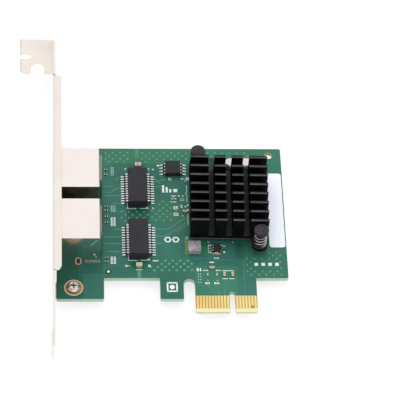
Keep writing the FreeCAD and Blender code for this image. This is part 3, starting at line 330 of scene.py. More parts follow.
mouldLooks = {
    "caseBlack": {"tone": shade(51, 53, 57), "deep": shade(41, 42, 46), "rough": 0.5,
                  "grain": 2600, "relief": 0.000010, "index": 1.28},
    "transformerCase": {"tone": shade(52, 49, 55), "deep": shade(42, 40, 47), "rough": 0.5,
                        "grain": 1800, "relief": 0.000010, "index": 1.28},
    "jackPlastic": {"tone": shade(38, 38, 40), "deep": shade(30, 30, 32), "rough": 0.55,
                    "grain": 1500, "relief": 0.000008, "index": 1.4},
    "pinNylon": {"tone": shade(54, 53, 57), "deep": shade(28, 27, 31), "rough": 0.42,
                 "grain": 900, "relief": 0.000016, "index": 1.32},
    "thermalGrey": {"tone": shade(176, 176, 178), "deep": shade(160, 160, 164), "rough": 0.8,
                    "grain": 800, "relief": 0.000010, "index": 1.4},
    "lightGuide": {"tone": shade(206, 202, 170), "deep": shade(190, 188, 150), "rough": 0.25,
                   "grain": 300, "relief": 0.000004, "index": 1.48},
    "inductorFerrite": {"tone": shade(204, 196, 198), "deep": shade(122, 118, 132),
                        "rough": 0.6, "grain": 700, "relief": 0.000030, "index": 1.4},
    "crystalBase": {"tone": shade(36, 36, 38), "deep": shade(28, 28, 30), "rough": 0.5,
                    "grain": 900, "relief": 0.000010, "index": 1.4},
    "tanCeramic": {"tone": shade(210, 182, 160), "deep": shade(170, 128, 104), "rough": 0.45,
                   "grain": 900, "relief": 0.000008, "index": 1.4},
    "blackCeramic": {"tone": shade(44, 42, 42), "deep": shade(32, 30, 30), "rough": 0.35,
                     "grain": 900, "relief": 0.000006, "index": 1.35},
    "labelPaper": {"tone": shade(244, 248, 255), "deep": shade(238, 243, 254), "rough": 0.6,
                   "grain": 500, "relief": 0.000004, "index": 1.3},
    "printInk": {"tone": shade(240, 246, 240), "deep": shade(214, 226, 216), "rough": 0.6,
                 "grain": 1400, "relief": 0.000006, "index": 1.3},
    "printFaint": {"tone": shade(168, 204, 190), "deep": shade(134, 178, 162), "rough": 0.6,
                   "grain": 1400, "relief": 0.000006, "index": 1.3},
    "maskOverTrack": {"tone": shade(112, 164, 146), "deep": shade(84, 138, 122), "rough": 0.4,
                      "grain": 900, "relief": 0.000004, "index": 1.32},
    "maskDimTrack": {"tone": shade(78, 134, 120), "deep": shade(64, 122, 108), "rough": 0.4,
                     "grain": 900, "relief": 0.000004, "index": 1.32},
    "maskOverVia": {"tone": shade(98, 158, 128), "deep": shade(72, 132, 106), "rough": 0.4,
                    "grain": 1100, "relief": 0.000004, "index": 1.32},
    "maskWarmVia": {"tone": shade(88, 148, 104), "deep": shade(68, 128, 90), "rough": 0.4,
                    "grain": 1100, "relief": 0.000004, "index": 1.32},
    "maskRust": {"tone": shade(96, 112, 84), "deep": shade(80, 108, 84), "rough": 0.4,
                 "grain": 900, "relief": 0.000004, "index": 1.32},
    "fluxGold": {"tone": shade(186, 140, 92), "deep": shade(104, 66, 44), "rough": 0.4,
                 "grain": 900, "relief": 0.000006, "index": 1.5},
    "maskCover": {"tone": shade(34, 94, 78), "deep": shade(26, 84, 68), "rough": 0.4,
                  "grain": 900, "relief": 0.000004, "index": 1.32},
    "rimTin": {"tone": shade(226, 214, 176), "deep": shade(206, 190, 148), "rough": 0.3,
               "grain": 900, "relief": 0.000006, "index": 1.5},
    "holeDark": {"tone": shade(30, 44, 38), "deep": shade(20, 32, 28), "rough": 0.6,
                 "grain": 900, "relief": 0.000004, "index": 1.3},
    "fluxRed": {"tone": shade(96, 48, 38), "deep": shade(44, 36, 30), "rough": 0.4,
                "grain": 900, "relief": 0.000006, "index": 1.4},
}


def makeMould(name):
    look = mouldLooks[name]
    finish = Finish(name, IOR=look["index"])
    grain = finish.noise(look["grain"], 3.0, 0.6)
    drift = finish.range(finish.noise(120, 2.0), 0.35, 0.65)
    speck = finish.range(grain, 0.35, 0.65)
    finish.feed("Base Color", finish.mix(drift * 0.5 + speck * 0.5, look["tone"], look["deep"]))
    finish.feed("Roughness", finish.range(speck, 0, 1, look["rough"] - 0.06,
                                          look["rough"] + 0.08))
    finish.bump(grain, look["relief"], 0.6)
    return finish


# wall, floor and low are painted shade and painted light, chosen by which way a face looks
anodisedLook = {"wall": shade(5, 5, 6), "floor": shade(26, 26, 29), "low": shade(46, 46, 49),
                "edgeHighlight": shade(86, 86, 90), "channel": 4.0 * mm,
                "baseHighlightHeight": 1.9 * mm, "baseHighlight": shade(96, 98, 100),
                "turn": -1.2, "long": 26.8, "rows": 8, "finThick": 1.0,
                "topBand": 0.15 * mm}


def makeAnodised():
    # black anodised aluminium with faint saw marks; painted light: up-facing faces lighter than
    # the dark walls and fin tops, lighter still low in the channels and round the lowest 1.9
    # mm, with a painted highlight along the front edge of each fin's top
    look = anodisedLook
    finish = Finish("sinkAnodised", IOR=1.2)
    x, y, z = finish.axes()
    saw = finish.noise(90, 2.0, 0.6, (1, 40, 12))
    low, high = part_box("heat_sink")
    turn = math.radians(look["turn"])
    along = ((y - (low[1] + high[1]) / 2) * math.cos(turn)
             - (x - (low[0] + high[0]) / 2) * math.sin(turn)) / mm
    pitch = (look["long"] - look["finThick"]) / (look["rows"] - 1)
    phase = finish.node("ShaderNodeMath", {"operation": "FRACT"},
                        {0: (along + look["long"] / 2) / pitch})
    lightByFacing = finish.range(finish.facing(), 0.3, 0.9, 0.0, 0.9)
    onTop = (z > high[2] - look["topBand"]) * finish.range(finish.facing(), 0.5, 0.9)
    # painted light: faces that look up get the lighter floor tone, the walls and fin tops stay
    # dark
    tone = finish.mix(lightByFacing * (1 - onTop) + finish.range(saw, 0.3, 0.7, 0.0, 0.1),
                      look["wall"], look["floor"])
    # painted light on the up-facing faces low in the channels
    tone = finish.mix((z < look["channel"]) * lightByFacing, tone, look["low"])
    # painted highlight round the base's lowest 1.9 mm
    tone = finish.mix(z < look["baseHighlightHeight"], tone, look["baseHighlight"])
    # painted highlight along the front edge of each fin's top
    edgeHighlightShare = finish.range(phase, 0.20, 0.13) * finish.range(finish.noise(160), 0.3, 0.7,
                                                            0.55, 0.95)
    tone = finish.mix(onTop * edgeHighlightShare, tone, look["edgeHighlight"])
    finish.feed("Base Color", tone)
    finish.feed("Roughness", finish.range(saw, 0.3, 0.7, 0.38, 0.52))
    finish.bump(saw, 0.000008, 0.4)
    return finish


finishes = {"boardMask": makeBoardMask(), "sinkAnodised": makeAnodised(),
            "screwSteel": makeScrewSteel()}
for finishName in metalLooks:
    finishes[finishName] = makeMetal(finishName)
for finishName in mouldLooks:
    finishes[finishName] = makeMould(finishName)

nodeFinishes = {
    "pcb": "boardMask", "heat_sink": "sinkAnodised", "bracket": "bracketSteel",
    "bracket_screws": "screwSteel", "screw_pads": "ringGold", "leg_pads": "tinPlate",
    "corner_hole_sleeve": "ringGold", "edge_contacts_front": "contactGold",
    "edge_contacts_back": "contactGold", "controller_chip": "caseBlack",
    "thermal_pad": "thermalGrey", "push_pins": "pinNylon", "pin_springs": "springSteel",
    "flash_chip": "caseBlack", "flash_leads": "leadTin", "regulator": "caseBlack",
    "regulator_leads": "leadTin", "power_inductor": "inductorFerrite",
    "inductor_terminals": "tinPlate", "crystal_base": "crystalBase",
    "crystal_can": "crystalCan", "capacitor_bodies": "tanCeramic",
    "capacitor_ends": "tinPlate", "resistor_bodies": "blackCeramic",
    "resistor_ends": "tinPlate", "blank_label": "labelPaper",
}
for side in ("lower", "upper"):
    nodeFinishes.update({
        f"jack_shell_{side}": "shellSteel", f"jack_housing_{side}": "jackPlastic",
        f"jack_lights_{side}": "lightGuide", f"jack_contacts_{side}": "contactGold",
        f"magnetics_{side}": "transformerCase", f"magnetics_leads_{side}": "leadTin",
    })
for nodeName, finishName in nodeFinishes.items():
    dress(nodeName, finishes[finishName])
print("finishes on the solids:", len(finishes))


def middle(nodeName):
    # the middle of a node's box in X and Y, in mm
    low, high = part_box(nodeName)
    return Vector(((low[0] + high[0]) / 2 / mm, (low[1] + high[1]) / 2 / mm))


def newPiece(name, made, finishName, stands=()):
    # a finished bmesh becomes a piece of the card
    bmesh.ops.recalc_face_normals(made, faces=made.faces)
    mesh = bpy.data.meshes.new(name)
    made.to_mesh(mesh)
    made.free()
    piece = bpy.data.objects.new(name, mesh)
    bpy.context.scene.collection.objects.link(piece)
    mesh.materials.append(finishes[finishName].material)
    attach(piece, "root")
    if stands:
        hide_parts(*stands)
    return piece


def addBar(made, start, end, width, height):
    # a flat bar on the board's face from one point to another, in mm
    run = Vector(end) - Vector(start)
    centre = (Vector(start) + Vector(end)) / 2
    place = Matrix.Translation((centre.x * mm, centre.y * mm, height / 2 * mm))
    turn = Matrix.Rotation(math.atan2(run.y, run.x), 4, "Z")
    size = Matrix.Diagonal((run.length * mm, width * mm, height * mm, 1.0))
    bmesh.ops.create_cube(made, size=1.0, matrix=place @ turn @ size)


def addDisc(made, centre, radius, height, sides=12, turn=0.0, taper=0.85):
    place = Matrix.Translation((centre[0] * mm, centre[1] * mm, height / 2 * mm))
    bmesh.ops.create_cone(made, cap_ends=True, segments=sides, radius1=radius * mm,
                          radius2=radius * taper * mm, depth=height * mm,
                          matrix=place @ Matrix.Rotation(turn, 4, "Z"))


def addRing(made, centre, inner, outer, low, high, sides=48):
    # a flat ring spun about its own centre, in mm
    axis = Vector((centre[0] * mm, centre[1] * mm, 0))
    corners = [made.verts.new(axis + Vector((radius * mm, 0, level * mm)))
               for radius, level in ((inner, low), (outer, low), (outer, high), (inner, high))]
    edges = [made.edges.new((corners[i - 1], corners[i])) for i in range(4)]
    bmesh.ops.spin(made, geom=corners + edges, cent=axis, axis=(0, 0, 1), angle=math.tau,
                   steps=sides, use_merge=True)


# white ink on the board: bars are x, y to x, y and width; fields are rows of short dashes
# with left, bottom, right, top, columns and rows; dots are x, y and radius; all in mm
# from the middle of the node they stand by
printSets = {
    "printUpperTransformer": {
        "by": "magnetics_upper", "finish": "printInk",
        "bars": [(-3.55, -7.55, -3.55, 7.1, 0.2), (-3.4, -7.6, -0.55, -7.6, 0.22),
                 (0.7, -7.5, 3.5, -7.5, 0.22), (4.85, -7.1, 5.3, -7.4, 0.18),
                 (4.9, -7.6, 5.3, -7.6, 0.16)],
        "fields": [(-4.3, 8.5, -3.7, 9.4, 1, 2), (3.7, 8.6, 4.2, 9.4, 1, 2)],
        "dots": [(3.05, -7.1, 0.5, 3), (5.4, 8.75, 0.42, 3)],
    },
    "printLowerTransformer": {
        "by": "magnetics_lower", "finish": "printInk",
        "bars": [(-3.55, -7.6, -3.55, 7.3, 0.2), (-3.45, -7.65, -0.7, -7.65, 0.22),
                 (0.6, -7.5, 2.9, -7.5, 0.22), (3.1, -10.2, 3.1, -9.2, 0.25),
                 (3.55, -10.15, 3.55, -9.3, 0.42)],
        "fields": [(4.5, -8.1, 6.3, -7.35, 3, 1), (-1.2, -11.5, 1.1, -11.0, 4, 1)],
        "dots": [(3.15, -7.15, 0.4, 12), (-4.25, -9.75, 0.42, 6), (-3.35, -9.75, 0.2, 8)],
    },
    "printUpperJack": {
        "by": "jack_shell_upper", "finish": "printFaint",
        "bars": [],
        "fields": [(11.35, 6.3, 12.55, 9.9, 2, 7), (11.15, -8.8, 12.95, -6.0, 2, 6)],
        "dots": [],
    },
    "printLowerJack": {
        "by": "jack_shell_lower", "finish": "printInk",
        "bars": [(2.4, -8.25, 7.4, -8.25, 0.1)],
        "fields": [(11.05, 6.1, 12.95, 9.8, 2, 8), (10.85, -9.1, 12.85, -6.1, 2, 6)],
        "dots": [],
    },
    "printFlash": {
        "by": "flash_chip", "finish": "printInk",
        "bars": [(-1.35, -4.4, -1.35, -3.4, 0.3), (5.2, -4.4, 5.2, -3.1, 0.4),
                 (5.65, -4.2, 5.65, -3.2, 0.3)],
        "fields": [(-0.95, -4.45, -0.5, -3.35, 1, 3), (2.6, -4.1, 3.6, -3.4, 2, 1)],
        "dots": [(-4.98, 1.8, 0.38, 12)],
    },
    "printController": {
        "by": "heat_sink", "finish": "printInk",
        "bars": [(-13.45, 11.7, -13.45, 13.0, 0.4), (-13.4, 1.1, -13.4, 1.7, 0.45),
                 (-13.3, -0.9, -13.3, -0.2, 0.45), (-15.0, -3.0, -15.5, -3.0, 0.2)],
        "fields": [(-18.95, 4.95, -17.15, 5.5, 4, 1), (-18.95, 3.75, -17.2, 4.3, 4, 1),
                   (-18.95, 2.45, -17.15, 3.0, 4, 1), (-18.3, -0.45, -16.6, 1.1, 2, 3),
                   (-18.35, -3.1, -16.5, -1.6, 3, 2), (-15.9, 0.2, -15.1, 1.6, 1, 3)],
        "dots": [(-16.33, 5.2, 0.3, 10), (-14.93, 5.2, 0.26, 10), (-14.2, 0.8, 0.3, 8)],
    },
    "printControllerEdge": {
        "by": "heat_sink", "finish": "printFaint",
        "bars": [(-13.6, 2.6, -13.6, 9.6, 0.35), (-13.5, -6.6, -13.5, -2.2, 0.35)],
        "fields": [(-16.0, 3.0, -14.4, 4.4, 3, 2)],
        "dots": [],
    },
    "printRegulator": {
        "by": "regulator", "finish": "printInk",
        "bars": [(-2.5, -5.4, -1.0, -5.4, 0.42), (2.2, 0.9, 3.1, 1.1, 0.24),
                 (2.3, -1.3, 2.9, -1.3, 0.6)],
        "fields": [(-0.95, -4.1, 0.8, -3.4, 4, 1), (-1.4, -2.3, 1.4, -1.75, 4, 1)],
        "dots": [],
    },
    "printRegulatorPads": {
        "by": "regulator", "finish": "printInk",
        "bars": [(-2.55, 1.45, -1.7, 1.45, 0.3), (1.55, 1.45, 2.3, 1.45, 0.3),
                 (-2.65, 1.45, -2.65, -1.4, 0.16), (-2.55, -1.5, -1.6, -1.5, 0.3)],
        "fields": [],
        "dots": [],
    },
    "printTongue": {
        "by": "edge_contacts_front", "finish": "printInk",
        "bars": [(-9.1, 12.1, -9.1, 13.3, 0.55), (-8.2, 12.1, -8.2, 13.3, 0.45)],
        "fields": [(-7.4, 12.1, -5.6, 12.75, 4, 1), (-3.15, 12.1, -1.5, 12.75, 3, 1),
                   (-1.0, 12.0, 2.9, 12.6, 8, 1), (-1.0, 8.85, 0.75, 9.5, 4, 1),
                   (1.25, 8.85, 2.95, 9.5, 4, 1), (-6.85, 6.75, -5.2, 8.05, 3, 1),
                   (-3.9, 6.75, -2.05, 8.05, 3, 1)],
        "dots": [(-9.0, 11.0, 0.16, 6), (-8.2, 11.0, 0.16, 6), (-9.0, 9.9, 0.16, 6),
                 (-8.2, 9.9, 0.16, 6), (-9.0, 8.8, 0.16, 6), (-8.2, 8.8, 0.16, 6),
                 (-9.0, 7.7, 0.16, 6), (-8.2, 7.7, 0.16, 6)],
    },
    # plain shapes in the places where such a card carries marks
    "plainMarks": {
        "by": "pcb", "finish": "printInk",
        "bars": [(-2.3, 14.7, -2.3, 17.7, 0.7), (-1.1, 14.7, -1.1, 16.9, 0.7),
                 (0.1, 14.7, 0.1, 16.1, 0.7), (1.15, 15.5, 2.45, 15.5, 1.3),
                 (27.3, -14.55, 28.5, -14.55, 1.2), (29.6, -14.55, 30.8, -14.55, 1.2),
                 (31.9, -14.55, 33.1, -14.55, 1.2), (34.2, -14.55, 35.4, -14.55, 1.2),
                 (-2.1, -21.9, 1.5, -21.9, 0.5), (-2.1, -25.2, 1.5, -25.2, 0.5),
                 (-1.85, -25.2, -1.85, -21.9, 0.5), (1.25, -25.2, 1.25, -21.9, 0.5)],
        "fields": [],
        "dots": [(-0.3, -23.55, 0.85, 16)],
    },
}
printHeight = 0.03


def makePrint(name):
    look = printSets[name]
    origin = middle(look["by"])
    made = bmesh.new()
    for x1, y1, x2, y2, width in look["bars"]:
        addBar(made, origin + Vector((x1, y1)), origin + Vector((x2, y2)), width, printHeight)
    for left, bottom, right, top, columns, rows in look["fields"]:
        wide, tall = (right - left) / columns, (top - bottom) / rows
        for column in range(columns):
            for row in range(rows):
                start = origin + Vector((left + wide * (column + 0.12), bottom
                                         + tall * (row + 0.5)))
                addBar(made, start, start + Vector((wide * 0.72, 0)), tall * 0.62,
                       printHeight)
    for x, y, radius, sides in look["dots"]:
        addDisc(made, origin + Vector((x, y)), radius, printHeight, sides, math.pi / 2, 1.0)
    newPiece(name, made, look["finish"])


hexagonLook = {"by": "pcb", "places": [(-1.3, -4.65), (1.4, -4.65)], "inner": 0.72,
               "outer": 1.25}


def makeHexagons():
    made = bmesh.new()
    origin = middle(hexagonLook["by"])
    for x, y in hexagonLook["places"]:
        addRing(made, origin + Vector((x, y)), hexagonLook["inner"], hexagonLook["outer"],
                0, printHeight, sides=6)
    newPiece("plainHexagons", made, "printInk")


# stitching vias: left, right, bottom and top of a patch, and the first via, in mm from the
# board's lower left corner
viaPitch = (2.5, 1.27)
viaPatches = {
    "viasTopBand": {"area": (16.2, 66.6, 60.2, 65.2), "first": (16.7, 64.5),
                    "finish": "maskOverVia", "radius": 0.38,
                    "gaps": [(25.2, 28.9, 60.0, 65.4), (31.5, 45.8, 60.0, 61.3),
                             (45.0, 66.6, 60.0, 62.8), (44.6, 50.2, 60.0, 65.0)]},
    "viasMiddle": {"area": (31.4, 38.9, 35.8, 44.6), "first": (35.9, 44.07),
                   "finish": "maskWarmVia", "radius": 0.46,
                   "gaps": [(31.4, 33.8, 40.6, 44.6)]},
    "viasBetween": {"area": (21.5, 31.0, 36.0, 40.4), "first": (21.85, 39.9),
                    "finish": "maskOverVia", "radius": 0.36, "gaps": []},
    "viasLower": {"area": (30.9, 44.9, 16.0, 20.5), "first": (36.05, 20.1),
                  "finish": "maskOverVia", "radius": 0.46, "gaps": [(30.8, 32.6, 18.3, 20.5)]},
    "viasCorner": {"area": (62.7, 75.6, 14.2, 24.2), "first": (70.7, 23.4),
                   "finish": "maskOverVia", "radius": 0.38,
                   "gaps": [(64.7, 74.0, 16.4, 20.1), (62.7, 70.2, 21.0, 24.4)]},
}
viaHeight = 0.02


def addVias(made, look, gaps):
    # a staggered grid of vias over a patch, less the gaps; far more rows than a patch needs
    left, right, bottom, top = look["area"]
    for row in range(-10, 11):
        for column in range(-20, 21):
            x = look["first"][0] + viaPitch[0] * (column + (row % 2) / 2)
            y = look["first"][1] + viaPitch[1] * row
            inside = left < x < right and bottom < y < top
            kept = not any(a < x < b and c < y < d for a, b, c, d in gaps)
            if inside and kept:
                addDisc(made, boardCorner + Vector((x, y)), look["radius"], viaHeight, 10)


def makeVias(name):
    look = viaPatches[name]
    made = bmesh.new()
    addVias(made, look, look["gaps"])
    newPiece(name, made, look["finish"])


# copper tracks under the mask: runs of points in mm from the board's lower left corner
trackSets = {
    "tracksUpperLeft": {
        "finish": "maskOverTrack", "width": 0.22,
        "runs": [[(20.1, 53.0), (20.9, 53.9), (21.8, 54.0)],
                 [(16.2, 50.3), (19.0, 50.4)], [(16.2, 47.9), (18.5, 47.9),
                 (19.8, 49.3), (21.8, 49.6)], [(16.2, 46.5), (21.8, 46.4)],
                 [(18.8, 43.3), (21.8, 43.3)]],
    },
    "tracksLowerLeft": {
        "finish": "maskOverTrack", "width": 0.24,
        "runs": [[(19.2, 32.7), (21.8, 32.7)], [(15.8, 29.6), (21.8, 29.6)],
                 [(15.8, 26.8), (21.8, 26.8)], [(17.0, 23.7), (21.8, 23.7)]],
    },
    "tracksRight": {
        "finish": "maskOverTrack", "width": 0.2,
        "runs": [[(33.0, 32.8), (37.4, 32.8), (44.2, 38.2)],
                 [(33.0, 29.9), (36.5, 29.9), (38.4, 31.4), (44.2, 36.1)],
                 [(33.0, 26.9), (35.2, 26.9)], [(33.0, 54.2), (35.2, 51.4)],
                 [(33.0, 52.0), (36.9, 53.4)], [(33.0, 50.1), (35.5, 50.5)],
                 [(39.9, 31.6), (44.2, 35.0)]],
    },
    "tracksWarm": {
        "finish": "maskRust", "width": 0.2,
        "runs": [[(24.2, 62.6), (35.2, 62.6)], [(39.2, 30.2), (44.2, 34.2)],
                 [(38.9, 33.2), (44.2, 37.3)]],
    },
    "tracksTongue": {
        "finish": "maskWarmVia", "width": 0.22,
        "runs": [[(49.8, 10.3), (51.5, 8.6), (52.0, 6.3)], [(52.2, 10.3), (53.3, 8.6),
                 (53.4, 6.3)], [(56.3, 12.4), (55.5, 9.5), (55.2, 6.3)]],
    },
    "tracksGround": {
        "finish": "maskDimTrack", "width": 0.2,
        "runs": [[(45.2, 21.0), (52.2, 21.0), (52.8, 20.4), (59.4, 20.4)],
                 [(62.0, 6.6), (62.0, 20.2)]],
    },
}


def addTracks(made, look):
    # bars from point to point, with a round at each corner
    for run in look["runs"]:
        spots = [boardCorner + Vector(spot) for spot in run]
        for start, end in zip(spots, spots[1:]):
            addBar(made, start, end, look["width"], viaHeight)
        for corner in spots[1:-1]:
            addDisc(made, corner, look["width"] / 2, viaHeight, 8, 0.0, 1.0)


def makeTracks(name):
    look = trackSets[name]
    made = bmesh.new()
    addTracks(made, look)
    newPiece(name, made, look["finish"])


padLook = {
    "height": 0.06,
    "row": {"by": "heat_sink", "y": -12.85, "places": (-7.0, -4.5, -3.2, -1.0, 0.0, 1.1),
            "radius": 0.26, "high": 0.12},
    "flash": {"by": "flash_chip", "x": (-4.1, 4.1), "first": -1.9, "pitch": 1.27,
              "long": 0.8, "wide": 0.42},
    "transformer": {"x": (-5.0, 5.0), "first": -5.5, "pitch": 1.0, "long": 1.25,
                    "wide": 0.42},
}


def makePads():
    # tinned pads under the leads, and the row of solder dots beside the heat sink
    made = bmesh.new()
    row = padLook["row"]
    origin = middle(row["by"])
    for x in row["places"]:
        addDisc(made, origin + Vector((x, row["y"])), row["radius"], row["high"], 10)
    for name, by, count in (("flash", "flash_chip", 4), ("transformer", "magnetics_upper", 12),
                            ("transformer", "magnetics_lower", 12)):
        look = padLook[name]
        origin = middle(by)
        for x in look["x"]:
            for index in range(count):
                centre = origin + Vector((x, look["first"] + look["pitch"] * index))
                half = Vector((look["long"] / 2, 0))
                addBar(made, centre - half, centre + half, look["wide"], padLook["height"])
    newPiece("tinnedPads", made, "tinPlate")


targetLook = {"place": (17.1, 15.7), "dot": 0.5, "clear": 0.95,
              "hole": (7.2, 19.45), "holeInner": 0.74, "holeOuter": 0.98,
              "raised": 0.05, "filled": 0.03, "flush": 0.02}


def makeTarget():
    # the placement target: a bright dot in a dark ring, and the ringed hole by the foot
    place = boardCorner + Vector(targetLook["place"])
    hole = boardCorner + Vector(targetLook["hole"])
    made = bmesh.new()
    addDisc(made, place, targetLook["dot"], targetLook["raised"], 20)
    newPiece("targetDot", made, "printInk")
    made = bmesh.new()
    addRing(made, place, targetLook["dot"] * 1.02, targetLook["clear"], 0,
            targetLook["flush"], 28)
    newPiece("targetRing", made, "holeDark")
    made = bmesh.new()
    addRing(made, hole, targetLook["holeInner"], targetLook["holeOuter"], 0,
            targetLook["raised"], 32)
    newPiece("footHoleRing", made, "rimTin")
    made = bmesh.new()
    addDisc(made, hole, targetLook["holeInner"] * 0.98, targetLook["filled"], 20)
    newPiece("footHoleFill", made, "fluxRed")


ringLook = {"shank": 1.4, "rimWide": 0.3, "ringHigh": 0.05, "rimHigh": 0.07,
            "upperRadius": 2.3, "rimSides": 64}


def makeScrewRings():
    # the plated rings under the bracket screws, smoother than their solids, with a raised rim
    look = ringLook
    low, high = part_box("screw_pads")
    centreX = (low[0] + high[0]) / 2 / mm
    radius = (high[0] - low[0]) / 2 / mm
    lowerY = low[1] / mm + radius
    upperY = high[1] / mm - look["upperRadius"]
    made = bmesh.new()
    for centreY, reach in ((lowerY, radius), (upperY, look["upperRadius"])):
        addRing(made, (centreX, centreY), look["shank"], reach - look["rimWide"], 0,
                look["ringHigh"])
    newPiece("screwRings", made, "fluxGold", ("screw_pads",))
    made = bmesh.new()
    addRing(made, (centreX, lowerY), radius - look["rimWide"], radius, 0, look["rimHigh"],
            look["rimSides"])
    newPiece("screwRingRim", made, "rimTin")


springLook = {"wire": 0.13, "radius": 1.98, "turns": 4.0, "steps": 32, "sides": 8,
              "seatWire": 0.15}


def makeSprings():
    # two coils wound by a spin that rises as it turns
    pinLow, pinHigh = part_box("push_pins")
    low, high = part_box("pin_springs")
    headRadius = 2.5 * mm
    bottom = low[2] + springLook["wire"] * mm
    rise = high[2] - low[2] - 2 * springLook["wire"] * mm
    steps = int(springLook["turns"] * springLook["steps"])
    made = bmesh.new()
    for x, y in ((pinLow[0] + headRadius, pinHigh[1] - headRadius),
                 (pinHigh[0] - headRadius, pinLow[1] + headRadius)):
        stand = Matrix.Translation((x, y - springLook["radius"] * mm, bottom))
        wire = bmesh.ops.create_circle(
            made, cap_ends=True, segments=springLook["sides"], radius=springLook["wire"] * mm,
            matrix=stand @ Matrix.Rotation(math.pi / 2, 4, "Y"))["verts"]
        faces = list({face for vert in wire for face in vert.link_faces})
        edges = list({edge for vert in wire for edge in vert.link_edges})
        bmesh.ops.spin(made, geom=wire + edges + faces, cent=(x, y, bottom), axis=(0, 0, 1),
                       angle=math.tau * springLook["turns"], steps=steps,
                       dvec=(0, 0, rise / steps), use_merge=False)
        # the closed end turn that sits on the ear
        addRing(made, (x / mm, y / mm), springLook["radius"] - springLook["seatWire"],
                springLook["radius"] + springLook["seatWire"], low[2] / mm,
                low[2] / mm + springLook["seatWire"] * 2, 40)
    newPiece("pinCoils", made, "springSteel", ("pin_springs",))


dimpleLook = {"flash": ("flash_chip", (-1.9, 1.9), 0.35), "height": 0.015,
              "upper": ("magnetics_upper", (2.3, -6.2), 0.4),
              "lower": ("magnetics_lower", (2.3, -6.2), 0.4)}


def makeDimples():
    # the first-lead marks moulded in the cases
    made = bmesh.new()
    for key in ("flash", "upper", "lower"):
        nodeName, shift, radius = dimpleLook[key]
        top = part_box(nodeName)[1][2] / mm
        addRing(made, middle(nodeName) + Vector(shift), radius * 0.8, radius, top,
                top + dimpleLook["height"], 24)
    newPiece("caseDimples", made, "blackCeramic")


wallLook = {"dimple": (-45.37, 3.84, 0.32), "second": (-44.78, 2.37, 0.2),
            "slot": ((-46.7, 9.2), (-44.6, 12.1), 0.07), "proud": 0.04}


def makeShellMarks():
    # stamped marks on the near wall of the lower jack shell, drawn white as painted highlights
    made = bmesh.new()
    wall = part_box("jack_shell_lower")[0][1]
    stand = Matrix.Translation((0, wall - wallLook["proud"] / 2 * mm, 0))
    for x, z, radius in (wallLook["dimple"], wallLook["second"]):
        bmesh.ops.create_cone(
            made, cap_ends=True, segments=16, radius1=radius * mm, radius2=radius * mm,
            depth=wallLook["proud"] * mm,
            matrix=stand @ Matrix.Translation((x * mm, 0, z * mm))
            @ Matrix.Rotation(math.pi / 2, 4, "X"))
    start, end, width = wallLook["slot"]
    run = Vector(end) - Vector(start)
    centre = (Vector(start) + Vector(end)) / 2
    bmesh.ops.create_cube(
        made, size=1.0,
        matrix=stand @ Matrix.Translation((centre.x * mm, 0, centre.y * mm))
        @ Matrix.Rotation(-math.atan2(run.y, run.x), 4, "Y")
        @ Matrix.Diagonal((run.length * mm, wallLook["proud"] * mm, width * mm, 1.0)))
    newPiece("shellStampHighlights", made, "labelPaper")


legLook = {"x": 10.5, "y": (20.18, 35.42, 40.88, 56.12), "cover": 1.06, "mound": 1.22,
           "coverHigh": 0.015, "height": 0.75}
tailLook = {"rows": ((10.2, -2.5), (12.74, -3.5)), "pitch": 1.016, "mound": 0.62,
            "height": 0.55}
moundTaper = 0.45


def turnToBack(made):
    # what is made on the front face goes to the same place on the back face
    bmesh.ops.scale(made, vec=(1, 1, -1), verts=made.verts)
    bmesh.ops.translate(made, vec=(0, 0, boardLow[2]), verts=made.verts)


def makeLegCovers():
    # mask over the edges of the leg holes beside the jacks
    made = bmesh.new()
    for y in legLook["y"]:
        addDisc(made, boardCorner + Vector((legLook["x"], y)), legLook["cover"],
                legLook["coverHigh"], 20, 0.0, 1.0)
    newPiece("legCovers", made, "maskCover")


def makeBackSolder():
    # solder mounds round the shell legs and the contact tails, on the back
    made = bmesh.new()
    for y in legLook["y"]:
        addDisc(made, boardCorner + Vector((legLook["x"], y)), legLook["mound"],
                legLook["height"], 20, 0.0, moundTaper)
    for side in ("lower", "upper"):
        centre = middle(f"jack_contacts_{side}").y
        for x, first in tailLook["rows"]:
            for index in range(4):
                y = centre + (first + 2 * index) * tailLook["pitch"]
                addDisc(made, (boardCorner.x + x, y), tailLook["mound"], tailLook["height"],
                        12, 0.0, moundTaper)
    turnToBack(made)
    newPiece("backSolder", made, "leadTin")


backPads = {"by": "heat_sink", "columns": 5, "rows": 4, "pitch": (2.6, 3.1),
            "first": (-5.6, -5.2), "gap": 0.85, "size": (0.5, 0.55), "high": 0.05, "test": 0.5,
            "tests": [(-20.0, -14.0), (-20.0, -11.5), (-24.5, 2.0), (8.5, -17.5), (8.5, -20.0),
                      (-33.0, 19.0), (-36.0, 19.0)]}


def makeBackPads():
    # empty places for small parts behind the controller, and round test pads
    made = bmesh.new()
    origin = middle(backPads["by"])
    half = Vector((backPads["size"][0] / 2, 0))
    for column in range(backPads["columns"]):
        for row in range(backPads["rows"]):
            centre = origin + Vector((backPads["first"][0] + column * backPads["pitch"][0],
                                      backPads["first"][1] + row * backPads["pitch"][1]))
            for shift in (-backPads["gap"] / 2, backPads["gap"] / 2):
                place = centre + Vector((shift, 0))
                addBar(made, place - half, place + half, backPads["size"][1], backPads["high"])
    for x, y in backPads["tests"]:
        addDisc(made, origin + Vector((x, y)), backPads["test"], backPads["high"], 16, 0.0,
                1.0)
    turnToBack(made)
    newPiece("backPads", made, "tinPlate")


